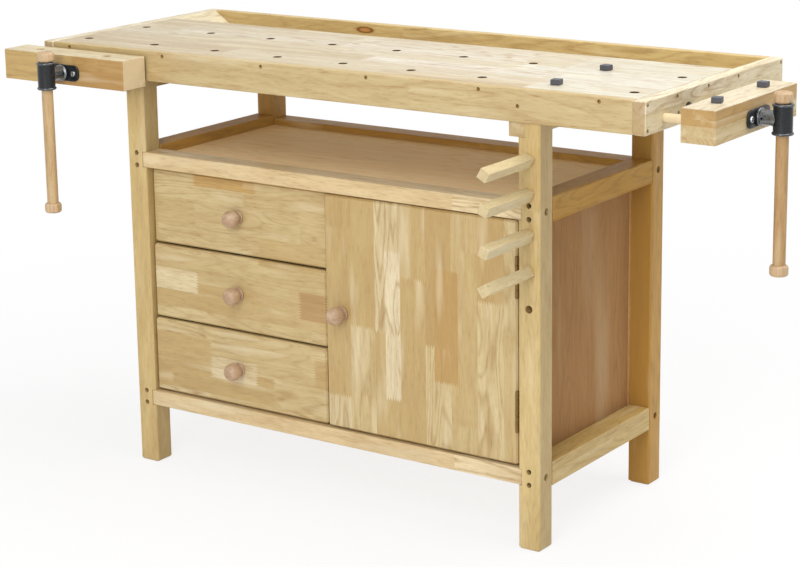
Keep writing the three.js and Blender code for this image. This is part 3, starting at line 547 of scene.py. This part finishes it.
def mottled(name, dark, light, grain_mm, shine, metallic, relief_mm=0.0):
    """A finish that wanders between two colours and two roughnesses, with an optional relief."""
    material = bpy.data.materials.new(name)
    material.use_nodes = True
    tree = material.node_tree
    shader = tree.nodes["Principled BSDF"]
    shader.inputs["Metallic"].default_value = metallic
    place = add_node(tree, "ShaderNodeTexCoord").outputs["Object"]
    speckle = noise(tree, place, grain_mm * MM, detail=3, roughness=0.6)
    tree.links.new(blended(tree, speckle, linear(dark), linear(light)), shader.inputs["Base Color"])
    tree.links.new(mapped(tree, speckle, (0.3, 0.7), shine), shader.inputs["Roughness"])
    raised = {"Height": speckle, "Strength": 0.3, "Distance": relief_mm * MM}
    tree.links.new(add_node(tree, "ShaderNodeBump", raised).outputs[0], shader.inputs["Normal"])
    return material


# Grain sizes are coarser than the real ones, so that they show.
black_iron = mottled("black_painted_cast_iron", "#121416", "#303336", 2.6, (0.22, 0.42), 0.4, relief_mm=0.3)
# A lighter iron on the bead crests, as painted glints of light.
rim_glint_iron = mottled("cast_iron_rim_glint", "#3e4144", "#6d7073", 3.5, (0.16, 0.32), 0.75)
zinc = mottled("zinc_plated_steel", "#b4b5b2", "#d6d6d2", 3, (0.22, 0.4), 1)
yellow_zinc = mottled("yellow_passivated_steel", "#b8985c", "#d2b57c", 3, (0.35, 0.5), 0.6)
hinge_brass = mottled("brass_plated_steel", "#6e5330", "#9a7b4c", 6, (0.28, 0.5), 1)
dog_plastic = mottled("dark_moulded_plastic", "#3c3c44", "#53535b", 1.8, (0.4, 0.6), 0, relief_mm=0.1)
leaves = [f"{level}_hinge_{part}_leaf" for level in ("upper", "lower") for part in ("door", "frame")]
dress(leaves, hinge_brass)
dress(["left_vise_nut", "right_vise_nut"], black_iron)
dress(["front_bench_dog", "back_bench_dog", "front_jaw_dog", "back_jaw_dog"], dog_plastic)
print("mottled finishes 6")

# %% [markdown]
# ## Turned pieces
#
# Knobs, handles, screws and bolt heads all come off a lathe. A lathe cuts one outline while the work turns,
# and Blender's spin does the same: a few points are drawn beside the axis and swept once round it. Points
# on the axis become poles, so they are merged before the faces are turned outwards.

# %% Lathe and piece helpers
LATHE_STEPS = 48
SHARP = math.radians(38)


def arc(radius, height, size, start, end, steps):
    """Points of a round in a turned outline, with its centre at that radius and height. Angles in degrees."""
    angles = [math.radians(start + (end - start) * step / steps) for step in range(steps + 1)]
    return [(radius + size * math.cos(angle), height + size * math.sin(angle)) for angle in angles]


def turned(outline, closed=False, steps=LATHE_STEPS):
    """Spins an outline of radii and heights in millimetres about Z."""
    shape = bmesh.new()
    points = [shape.verts.new((radius * MM, 0, height * MM)) for radius, height in outline]
    pairs = list(zip(points, points[1:] + points[:1] if closed else points[1:]))
    lines = [shape.edges.new(pair) for pair in pairs]
    circle = {"cent": (0, 0, 0), "axis": (0, 0, 1), "angle": 2 * math.pi}
    bmesh.ops.spin(shape, geom=points + lines, steps=steps, use_merge=True, **circle)
    bmesh.ops.remove_doubles(shape, verts=shape.verts, dist=0.001 * MM)
    bmesh.ops.recalc_face_normals(shape, faces=shape.faces)
    return shape


def moved(shape, matrix):
    """Sets a shape in its place."""
    bmesh.ops.transform(shape, matrix=matrix, verts=shape.verts)
    return shape


def joined(*shapes):
    """Puts several closed shells into one mesh."""
    whole = bmesh.new()
    for shape in shapes:
        part = bpy.data.meshes.new("part")
        shape.to_mesh(part)
        shape.free()
        whole.from_mesh(part)
        bpy.data.meshes.remove(part)
    return whole


def new_piece(name, shape, body, material, replaced=()):
    """Makes a named object from a mesh that is in its place, and lets it ride on a body."""
    mesh = bpy.data.meshes.new(name)
    shape.to_mesh(mesh)
    shape.free()
    mesh.shade_smooth()
    mesh.set_sharp_from_angle(angle=SHARP)
    mesh.materials.append(material)
    piece = bpy.data.objects.new(name, mesh)
    scene.collection.objects.link(piece)
    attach(piece, body)
    if replaced:
        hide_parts(*replaced)


def facing(spot, outward):
    """A place at a spot whose Z looks outward and whose Y looks up."""
    upward = Vector((0, 0, 1))
    axes = Matrix((upward.cross(outward), upward, outward)).transposed()
    return Matrix.Translation(spot) @ axes.to_4x4()


FRONT, BACK, LEFT, RIGHT = Vector((0, -1, 0)), Vector((0, 1, 0)), Vector((-1, 0, 0)), Vector((1, 0, 0))
UPSIDE_DOWN = Matrix.Rotation(math.pi, 4, "X")

# %% [markdown]
# ## Bearers and back panel
#
# A bearer is a batten under the top, let into a notch at the left of its two legs, so the rest of each
# leg goes on up beside it. The solids have one wide bearer across the legs' whole tops. Here a narrower
# batten stands for it, and a short post carries every leg on to the top in the same wood, because a
# material that reads the place needs no seam. The back panel is pressed into its corner so that no light
# shows past it: it is half a millimetre larger on every side than its solid. All of these start from a
# cube that is stretched between two corners, and a bevel breaks its edges.

# %% Boards with crisp edges
NOTCH = 16 * MM
OVERLAP = 6 * MM
HAIR = 0.12 * MM
LEG_CHAMFER = 3.5 * MM
BATTEN_EDGE = 0.5 * MM
PANEL_EDGE = 0.15 * MM
PRESSED = Vector((0.5, 0.5, 0.5)) * MM


def planed(low, high, bevel, steps=2, only_right=False):
    """A board between two corners. All its edges are broken, or only the upright ones on its right side."""
    middle_point = (low + high) / 2
    shape = bmesh.new()
    bmesh.ops.create_cube(shape, size=1)
    moved(shape, Matrix.Translation(middle_point) @ Matrix.Diagonal((*(high - low), 1)))
    edges = shape.edges[:]
    if only_right:
        edges = [edge for edge in edges if all(corner.co.x > middle_point.x for corner in edge.verts)
                 and abs(edge.verts[0].co.z - edge.verts[1].co.z) > HAIR]
    bmesh.ops.bevel(shape, geom=edges, offset=bevel, affect="EDGES", segments=steps, profile=0.5, material=-1)
    return shape


for side in ("left", "right"):
    node = f"{side}_bearer"
    low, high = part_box(node)
    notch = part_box(f"front_{side}_leg")[0].x + NOTCH
    batten = planed(Vector(low), Vector((notch, high.y, high.z)), BATTEN_EDGE)
    new_piece(f"{side}_bearer_batten", batten, "bench", solids[node].data.materials[0], [node])
    for end in ("front", "back"):
        leg = f"{end}_{side}_leg"
        leg_low, leg_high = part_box(leg)
        foot = Vector((notch, leg_low.y - HAIR, leg_high.z - OVERLAP))
        head = Vector((leg_high.x + HAIR, leg_high.y + HAIR, high.z))
        post = planed(foot, head, LEG_CHAMFER, steps=1, only_right=True)
        new_piece(f"{leg}_top", post, "bench", solids[leg].data.materials[0])
low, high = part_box("back_panel")
pressed_panel = planed(low - PRESSED, high + PRESSED, PANEL_EDGE)
back_finish = solids["back_panel"].data.materials[0]
new_piece("pressed_back_panel", pressed_panel, "bench", back_finish, ["back_panel"])
print("battens 2, leg tops 4")

# %% [markdown]
# ## Knobs
#
# Small beech balls on a stepped foot. The grain runs through them from front to back, so the ball shows
# long grain round its sides and browner end grain at the front. They stay pinker and greyer than the
# boards, because beech is.

# %% Turned beech knobs
KNOB_RADIUS = 17.5
KNOB_NECK = 9.5
KNOB_NECK_HEIGHT = 7
KNOB_FOOT = 14
turned_beech = timber("lacquered_turned_beech", "Y", "X", 400, 900, [(0, "#c2a486"), (1, "#cbb092")],
                      grain="#8f6b4b", seed=21, figure=1.2)
neck_angle = -math.degrees(math.acos(KNOB_NECK / KNOB_RADIUS))
ball_height = KNOB_NECK_HEIGHT - KNOB_RADIUS * math.sin(math.radians(neck_angle))
knob_outline = [(0, 0.2), (KNOB_FOOT - 0.8, 0.2)] + arc(KNOB_FOOT - 1.6, 2.7, 1.9, -60, 70, 6)
knob_outline += [(KNOB_NECK + 1, 5), (KNOB_NECK, 6)] + arc(0, ball_height, KNOB_RADIUS, neck_angle, 90, 24)
for front in ("top_drawer", "middle_drawer", "bottom_drawer", "door"):
    node = f"{front}_knob"
    low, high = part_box(node)
    spot = (low + high) / 2
    spot.y = high.y
    ball = moved(turned(knob_outline), facing(spot, FRONT))
    new_piece(f"{node}_turned", ball, front, turned_beech, [node])
print("knobs 4")

# %% [markdown]
# ## Vise ironwork
#
# Each vise has a cast head like a pipe fitting: an upright barrel that the handle slides through, and a
# neck that grows out of it and ends in a collar. Behind the collar the steel screw runs through a flange
# and the jaw. The barrel is spun as a closed ring, so its bore stays open, and so are the beads of its
# rims, whose crests are a lighter iron that paints the glints of light on them. The neck is spun about the
# screw's axis, and its last ring is laid onto the barrel's round side, which makes the seam follow the
# curve as in a casting. It is ground to bare grey iron, and its lighter grey also paints the brighter
# reflection it shows. The thread is one flat section, spun up the screw by one lead in every turn.

# %% Screw and cast head
HUB_STAND = 47
BARREL = 17
BARREL_RIM = 2.3
BARREL_HALF = 27
BORE = 11.9
JAW_DEPTH = 65
SCREW_TAIL = -260
SCREW_RADIUS = 11
THREAD_ROOT = 9.3
LEAD = 6
COLLAR_FROM = 5.4
NECK = 13.5
NECK_END = 29.5
vise_places = {}
for side, outward in (("left", FRONT), ("right", RIGHT)):
    low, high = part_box(f"{side}_vise_flange")
    seat = (low + high) / 2 - outward * abs((high - low).dot(outward)) / 2
    vise_places[side] = facing(seat, outward)


def screw_shaft():
    """The steel screw, along Z, up to the collar."""
    outline = [(0, SCREW_TAIL), (7.8, SCREW_TAIL), (THREAD_ROOT, SCREW_TAIL + 1.5)]
    outline += [(THREAD_ROOT, -JAW_DEPTH - 3), (SCREW_RADIUS, -JAW_DEPTH - 1)]
    outline += [(SCREW_RADIUS, COLLAR_FROM + 1), (0, COLLAR_FROM + 1)]
    return turned(outline)


def neck():
    """The collar and the neck, along Z, whose end is laid onto the barrel's round side."""
    outline = [(0, COLLAR_FROM), (15.4, COLLAR_FROM)] + arc(15, COLLAR_FROM + 1.5, 1.5, -60, 80, 6)
    outline += [(14.4, COLLAR_FROM + 3.6), (NECK, COLLAR_FROM + 4.2), (NECK, NECK_END - 3)]
    outline += [(14, NECK_END - 1), (14.6, NECK_END), (8, NECK_END), (0, NECK_END)]
    shape = turned(outline)
    for corner in shape.verts:
        if corner.co.z > (NECK_END - 0.1) * MM:
            corner.co.z = HUB_STAND * MM - math.sqrt((BARREL * MM) ** 2 - corner.co.x ** 2) + 0.9 * MM
    return shape


def screw_thread():
    """The ridge of the thread."""
    shape = bmesh.new()
    start = SCREW_TAIL + 3
    section = [(THREAD_ROOT - 0.4, 0), (SCREW_RADIUS, 1.3), (SCREW_RADIUS, 3), (THREAD_ROOT - 0.4, 4.3)]
    corners = [shape.verts.new((radius * MM, 0, (start + rise) * MM)) for radius, rise in section]
    ridge = shape.faces.new(corners)
    turns = (-JAW_DEPTH - 8 - start) / LEAD
    steps = int(turns * 20)
    climb = (0, 0, LEAD * turns / steps * MM)
    helix = {"cent": (0, 0, 0), "axis": (0, 0, 1), "angle": 2 * math.pi * turns, "dvec": climb}
    bmesh.ops.spin(shape, geom=[ridge], steps=steps, **helix)
    bmesh.ops.recalc_face_normals(shape, faces=shape.faces)
    return shape


UPRIGHT = Matrix.Translation((0, 0, HUB_STAND * MM)) @ Matrix.Rotation(math.radians(90), 4, "X")


def barrel():
    """The upright barrel of the head, a ring with a bead at each end."""
    rim = BARREL_HALF - BARREL_RIM
    lower = arc(BARREL - 0.3, -rim, BARREL_RIM, -90, 80, 8) + [(BARREL, 1.6 - rim + BARREL_RIM)]
    upper = [(radius, -height) for radius, height in reversed(lower)]
    inside = [(BORE, BARREL_HALF - 1), (BORE, 1 - BARREL_HALF)]
    outline = [(BORE + 1, -BARREL_HALF)] + lower + upper + [(BORE + 1, BARREL_HALF)] + inside
    return moved(turned(outline, closed=True), UPRIGHT)


def rims():
    """The crests of the two beads in a lighter iron that paints their glints, a hair larger than the beads.
    """
    bead = arc(BARREL - 0.3, 0, BARREL_RIM + 0.12, -90, 90, 8)
    rim = (BARREL_HALF - BARREL_RIM) * MM
    rings = [moved(turned(bead, closed=True), Matrix.Translation((0, 0, height))) for height in (-rim, rim)]
    return moved(joined(*rings), UPRIGHT)


# %% [markdown]
# The flange is a plate with round corners and a screw on each side. Its edge is four quarter circles,
# each spun from a single point. Bridging the edge to the bore's circle fills the plate, and an extrusion
# gives it its thickness. The low boss that the collar turns against is a ring of its own.

# %% Flange
FLANGE_REACH = 43.5
FLANGE_RISE = 16
FLANGE_CORNER = 13
FLANGE_DEPTH = 3.6
EAR_OFFSET = 31
FLANGE_GAP = 0.3  # from the jaw, as in the solids


def flange():
    """The plate and its boss."""
    shape = bmesh.new()
    across, up = FLANGE_REACH - FLANGE_CORNER, FLANGE_RISE - FLANGE_CORNER
    corners = [(across, -up, -90), (across, up, 0), (-across, up, 90), (-across, -up, 180)]
    firsts, lasts = [], []
    for x, y, start in corners:
        turn_from = math.radians(start)
        across_from, up_from = math.cos(turn_from), math.sin(turn_from)
        spot = (x + FLANGE_CORNER * across_from, y + FLANGE_CORNER * up_from, FLANGE_GAP)
        firsts.append(shape.verts.new([value * MM for value in spot]))
        bend = {"cent": (x * MM, y * MM, 0), "axis": (0, 0, 1), "angle": math.pi / 2}
        lasts.append(bmesh.ops.spin(shape, geom=[firsts[-1]], steps=10, **bend)["geom_last"][0])
    for last, first in zip(lasts, firsts[1:] + firsts[:1]):
        shape.edges.new((last, first))
    hole = bmesh.ops.create_circle(shape, segments=40, radius=BORE * MM)
    bmesh.ops.translate(shape, verts=hole["verts"], vec=(0, 0, FLANGE_GAP * MM))
    plate = bmesh.ops.bridge_loops(shape, edges=shape.edges[:])["faces"]
    grown = bmesh.ops.extrude_face_region(shape, geom=plate)["geom"]
    front = [item for item in grown if isinstance(item, bmesh.types.BMVert)]
    bmesh.ops.translate(shape, verts=front, vec=(0, 0, (FLANGE_DEPTH - FLANGE_GAP) * MM))
    bmesh.ops.recalc_face_normals(shape, faces=shape.faces)
    rim = [edge for edge in shape.edges if edge.verts[0] in front and edge.verts[1] in front
           and edge.calc_face_angle(0) > 1]
    bmesh.ops.bevel(shape, geom=rim, offset=1.2 * MM, affect="EDGES", segments=3, profile=0.5, material=-1)
    boss = [(BORE, 1), (15.4, 1), (15.4, 4.4)] + arc(14.6, 4.4, 0.8, 0, 90, 3) + [(BORE, 5.2)]
    return joined(shape, turned(boss, closed=True))


# %% [markdown]
# A small hole for a locking pin goes sideways through each neck. It is painted shade: points near the
# hole's axis are dark. The neck of the left vise has its hole along X, and that of the right one along Y.

# %% Ironwork of both vises
PIN_RADIUS = 1.9
PIN_STAND = 13.5


def drilled(material, spot, sideways):
    """Paints the shade of a round hole into a finish. The hole goes through the spot along the sideways axis.
    """
    tree = material.node_tree
    shader = tree.nodes["Principled BSDF"]
    plain = shader.inputs["Base Color"].links[0].from_socket
    place = add_node(tree, "ShaderNodeTexCoord").outputs["Object"]
    away = vector_sum(tree, "SUBTRACT", place, spot)
    flat = vector_sum(tree, "MULTIPLY", away, [1 - abs(value) for value in sideways])
    distance = add_node(tree, "ShaderNodeVectorMath", {0: flat}, operation="LENGTH").outputs["Value"]
    outside = mapped(tree, distance, (PIN_RADIUS * MM, 1.2 * PIN_RADIUS * MM))
    tree.links.new(blended(tree, outside, linear("#0d0d0e"), plain), shader.inputs["Base Color"])


for side, place in vise_places.items():
    body = f"{side}_screw"
    head = moved(joined(screw_shaft(), screw_thread(), barrel()), place)
    new_piece(f"{side}_vise_cast_head", head, body, black_iron, [f"{side}_vise_screw"])
    new_piece(f"{side}_vise_rims", moved(rims(), place), body, rim_glint_iron)
    # A lighter grey for the neck: partly bare ground iron, partly painted reflection.
    grey_sheen_iron = mottled(f"{side}_ground_and_sheen_cast_iron", "#5e6164", "#909396", 4, (0.2, 0.4), 0.85)
    pin_spot = place @ Vector((0, 0, PIN_STAND * MM))
    drilled(grey_sheen_iron, pin_spot, place.col[0].to_3d())
    new_piece(f"{side}_vise_neck", moved(neck(), place), body, grey_sheen_iron)
    plate = moved(flange(), place)
    new_piece(f"{side}_vise_plate", plate, f"{side}_jaw", black_iron, [f"{side}_vise_flange"])
print("vise heads", len(vise_places))

# %% [markdown]
# ## Handles and guides
#
# A beech dowel slides through each barrel, with a rounded drum glued on both ends. The drum has a dimple
# where the lathe's centre held it. Bar and drums are separate pieces, because their woods differ. Two
# pale dowels guide each jaw. They lie over the guides of the solid jaw and are a hair thicker.

# %% Sliding handles and guide dowels
HANDLE_BAR = 11.2
DRUM = 16.5
DRUM_HEIGHT = 20
GUIDE_RADIUS = 8.15
GUIDE_OFFSETS = {"left": 80, "right": 88}
bar_tones = {"left": [(0, "#c6a87a"), (1, "#cdb187")], "right": [(0, "#b28d5c"), (1, "#ba9667")]}
drum_beech = timber("turned_beech_drum", "Z", "X", 400, 900, [(0, "#c3a67f"), (1, "#ccb18c")],
                    grain="#9b7448", seed=23, figure=0.9)
guide_birch = timber("birch_guide_dowel", "Z", "X", 400, 900, [(0, "#e0cda6"), (1, "#e6d5b2")],
                     grain="#c4a878", seed=24, figure=0.5)
drum_outline = [(0, 0), (HANDLE_BAR - 2, 0)] + arc(DRUM - 5.5, 5.5, 5.5, -85, 0, 6)
drum_outline += arc(DRUM - 5, DRUM_HEIGHT - 5, 5, 0, 80, 6) + [(3.6, DRUM_HEIGHT), (2.8, DRUM_HEIGHT - 1.6)]
drum_outline += [(0, DRUM_HEIGHT - 4.5)]
for side, place in vise_places.items():
    low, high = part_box(f"{side}_vise_handle")
    spot = (low + high) / 2
    length = (high.z - low.z) / MM
    body = f"{side}_handle"
    rod = [(0, DRUM_HEIGHT - 3), (HANDLE_BAR, DRUM_HEIGHT - 3), (HANDLE_BAR, length - DRUM_HEIGHT + 3)]
    rod = turned(rod + [(0, length - DRUM_HEIGHT + 3)])
    bar = moved(rod, Matrix.Translation((spot.x, spot.y, low.z)))
    handle_beech = timber(f"{side}_oiled_beech_dowel", "Z", "X", 400, 1500, bar_tones[side], grain="#8f6a3c",
                          seed=22, figure=0.8)
    new_piece(f"{side}_vise_dowel", bar, body, handle_beech, [f"{side}_vise_handle"])
    upper = moved(turned(drum_outline), Matrix.Translation((spot.x, spot.y, high.z - DRUM_HEIGHT * MM)))
    new_piece(f"{side}_vise_upper_drum", upper, body, drum_beech)
    upside_down = Matrix.Translation((spot.x, spot.y, low.z + DRUM_HEIGHT * MM)) @ UPSIDE_DOWN
    lower = moved(turned(drum_outline), upside_down)
    new_piece(f"{side}_vise_lower_drum", lower, body, drum_beech)
    tail = [(0, SCREW_TAIL - 0.1), (GUIDE_RADIUS - 1, SCREW_TAIL - 0.1), (GUIDE_RADIUS, SCREW_TAIL + 1)]
    guide_outline = tail + [(GUIDE_RADIUS, 0.5 - JAW_DEPTH), (0, 0.5 - JAW_DEPTH)]
    shift = GUIDE_OFFSETS[side] * MM
    guides = [moved(turned(guide_outline), place @ Matrix.Translation((x, 0, 0))) for x in (-shift, shift)]
    new_piece(f"{side}_vise_guide_dowels", joined(*guides), f"{side}_jaw", guide_birch)
print("handles", len(vise_places))

# %% [markdown]
# ## Screws and bolts
#
# Screws sit in counterbores along the apron and the end boards, bolts with hexagon sockets hold the legs to
# the rails, and two screws hold each flange. A head is a lathe piece without its top. The outline of the
# socket or the cross is bridged to its rim and then sunk, as a punch would do it.

# %% Heads
HEXAGON = [(0.5, 60 * corner) for corner in range(6)]
CROSS = [(size, 90 * arm + angle) for arm in range(4) for size, angle in ((0.5, -13), (0.5, 13), (0.2, 45))]


def screw_head(radius, height, recess):
    """A head along Z. The recess is given by shares of the radius and by degrees."""
    dome = [(0, 0), (radius, 0), (radius, 0.5 * height)]
    dome += [(0.92 * radius, 0.82 * height), (0.7 * radius, height)]
    shape = turned(dome, steps=24)
    rim = [edge for edge in shape.edges if edge.is_boundary]
    corners = []
    for share, angle in recess:
        flat = Vector((math.cos(math.radians(angle)), math.sin(math.radians(angle)), 0)) * share * radius * MM
        corners.append(shape.verts.new(flat + Vector((0, 0, height * MM))))
    loop = [shape.edges.new(pair) for pair in zip(corners, corners[1:] + corners[:1])]
    bmesh.ops.bridge_loops(shape, edges=rim + loop)
    sunk = bmesh.ops.extrude_edge_only(shape, edges=loop)["geom"]
    bottom = [item for item in sunk if isinstance(item, bmesh.types.BMVert)]
    bmesh.ops.translate(shape, verts=bottom, vec=(0, 0, -0.55 * height * MM))
    bmesh.ops.contextual_create(shape, geom=bottom)
    bmesh.ops.recalc_face_normals(shape, faces=shape.faces)
    return shape


# %% Places of the screws and bolts
BOARD_SCREW = (3.8, 2.4)  # radius and height of the heads
FLANGE_SCREW = (5.6, 3.4)
LEG_BOLT = (4.6, 5)
SIDE_BOLT = (5, 10)
HOLE_DEPTH = 7
SCREW_DROP = 8
BOLT_DEPTH = 14
BOLT_PAIR = (-12.5, 12.5)
NUT_PAIR = (-36, 36)
SUNK = 0.2  # how far a screw head on the flange lies in it
bench_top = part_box("front_apron")[1].z
apron_spots = [(70 + 244 * number, SCREW_DROP) for number in range(6)]
apron_spots += [(along, 31) for along in (213, 1127)]
apron_spots += [(117 + reach, 45) for reach in NUT_PAIR]
screws = []
for along, drop in apron_spots:
    spot = top_corner + Vector((along * MM, HOLE_DEPTH * MM, bench_top - drop * MM))
    screws.append(moved(screw_head(*BOARD_SCREW, CROSS), facing(spot, FRONT)))
end_spots = [(115 + 118 * number, SCREW_DROP) for number in range(3)]
end_spots += [(depth, drop) for depth in (8, 530) for drop in (SCREW_DROP, 52)]
for node, outward in (("left_end_board", LEFT), ("right_end_board", RIGHT)):
    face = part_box(node)[0].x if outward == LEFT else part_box(node)[1].x
    nut_spots = [(156 + reach, 38) for reach in NUT_PAIR] if outward == RIGHT else []
    for depth, drop in end_spots + nut_spots:
        spot = Vector((face, top_corner.y + depth * MM, bench_top - drop * MM)) - outward * HOLE_DEPTH * MM
        screws.append(moved(screw_head(*BOARD_SCREW, CROSS), facing(spot, outward)))
new_piece("board_screws", joined(*screws), "bench", yellow_zinc)

RAIL_LEVELS = [635, 139]
bolts, side_bolts = [], []
for leg in ("front_left_leg", "front_right_leg", "back_left_leg", "back_right_leg"):
    low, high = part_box(leg)
    ahead = FRONT if leg.startswith("front") else BACK
    beside = LEFT if "left" in leg else RIGHT
    half = (high.x - low.x) / 2
    for level in RAIL_LEVELS:
        centre = Vector(((low.x + high.x) / 2, (low.y + high.y) / 2, level * MM))
        for shift in BOLT_PAIR:
            spot = centre + ahead * (half - BOLT_DEPTH * MM) + Vector((0, 0, shift * MM))
            bolts.append(moved(screw_head(*LEG_BOLT, HEXAGON), facing(spot, ahead)))
        spot = centre + beside * (half - BOLT_DEPTH * MM)
        side_bolts.append(moved(screw_head(*SIDE_BOLT, HEXAGON), facing(spot, beside)))
new_piece("leg_bolts", joined(*bolts), "bench", black_iron)
new_piece("leg_side_bolts", joined(*side_bolts), "bench", zinc)

for side, place in vise_places.items():
    seats = [Vector((x, 0, FLANGE_DEPTH - SUNK)) * MM for x in (-EAR_OFFSET, EAR_OFFSET)]
    ears = [place @ Matrix.Translation(seat) for seat in seats]
    heads = joined(*[moved(screw_head(*FLANGE_SCREW, CROSS), ear) for ear in ears])
    new_piece(f"{side}_flange_screws", heads, f"{side}_jaw", zinc)
print("screws", len(screws), "bolts", len(bolts) + len(side_bolts))

# %% [markdown]
# ## Hinge barrels
#
# A butt hinge shows only its barrel when the door is shut: five knuckles in a row, three on the leg's
# leaf and two on the door's, with the pin's rounded ends above and below. The solids have these as plain
# prisms. Turned rings with broken edges are set over them, and each ring rides with its own leaf.

# %% Knuckles
KNUCKLE = 3.3
KNUCKLE_BORE = 1.7
KNUCKLES = 5
for level in ("upper", "lower"):
    low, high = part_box(f"{level}_hinge_frame_leaf")
    axis_spot = Vector(((low.x + high.x) / 2, low.y + (high.x - low.x) / 2, low.z))
    height = (high.z - low.z) / MM / KNUCKLES
    wall = [(KNUCKLE_BORE, 0.3), (KNUCKLE - 0.5, 0.3), (KNUCKLE, 0.8), (KNUCKLE, height - 0.8)]
    ring = wall + [(KNUCKLE - 0.5, height - 0.3), (KNUCKLE_BORE, height - 0.3)]
    lifts = [axis_spot + Vector((0, 0, step * height * MM)) for step in range(KNUCKLES)]
    rings = [moved(turned(ring, closed=True, steps=24), Matrix.Translation(lift)) for lift in lifts]
    pin = [(0, -1), (1.6, -0.6), (2.2, 0.2), (2.2, 0.4), (0, 0.4)]
    ends = [moved(turned(pin, steps=24), Matrix.Translation(axis_spot))]
    flip = Matrix.Translation((axis_spot.x, axis_spot.y, high.z)) @ UPSIDE_DOWN
    ends.append(moved(turned(pin, steps=24), flip))
    on_leg = joined(*rings[0::2], *ends)
    on_door = joined(*rings[1::2])
    new_piece(f"{level}_hinge_frame_knuckles", on_leg, "bench", hinge_brass)
    new_piece(f"{level}_hinge_door_knuckles", on_door, "door", hinge_brass)
print("hinge barrels 2")
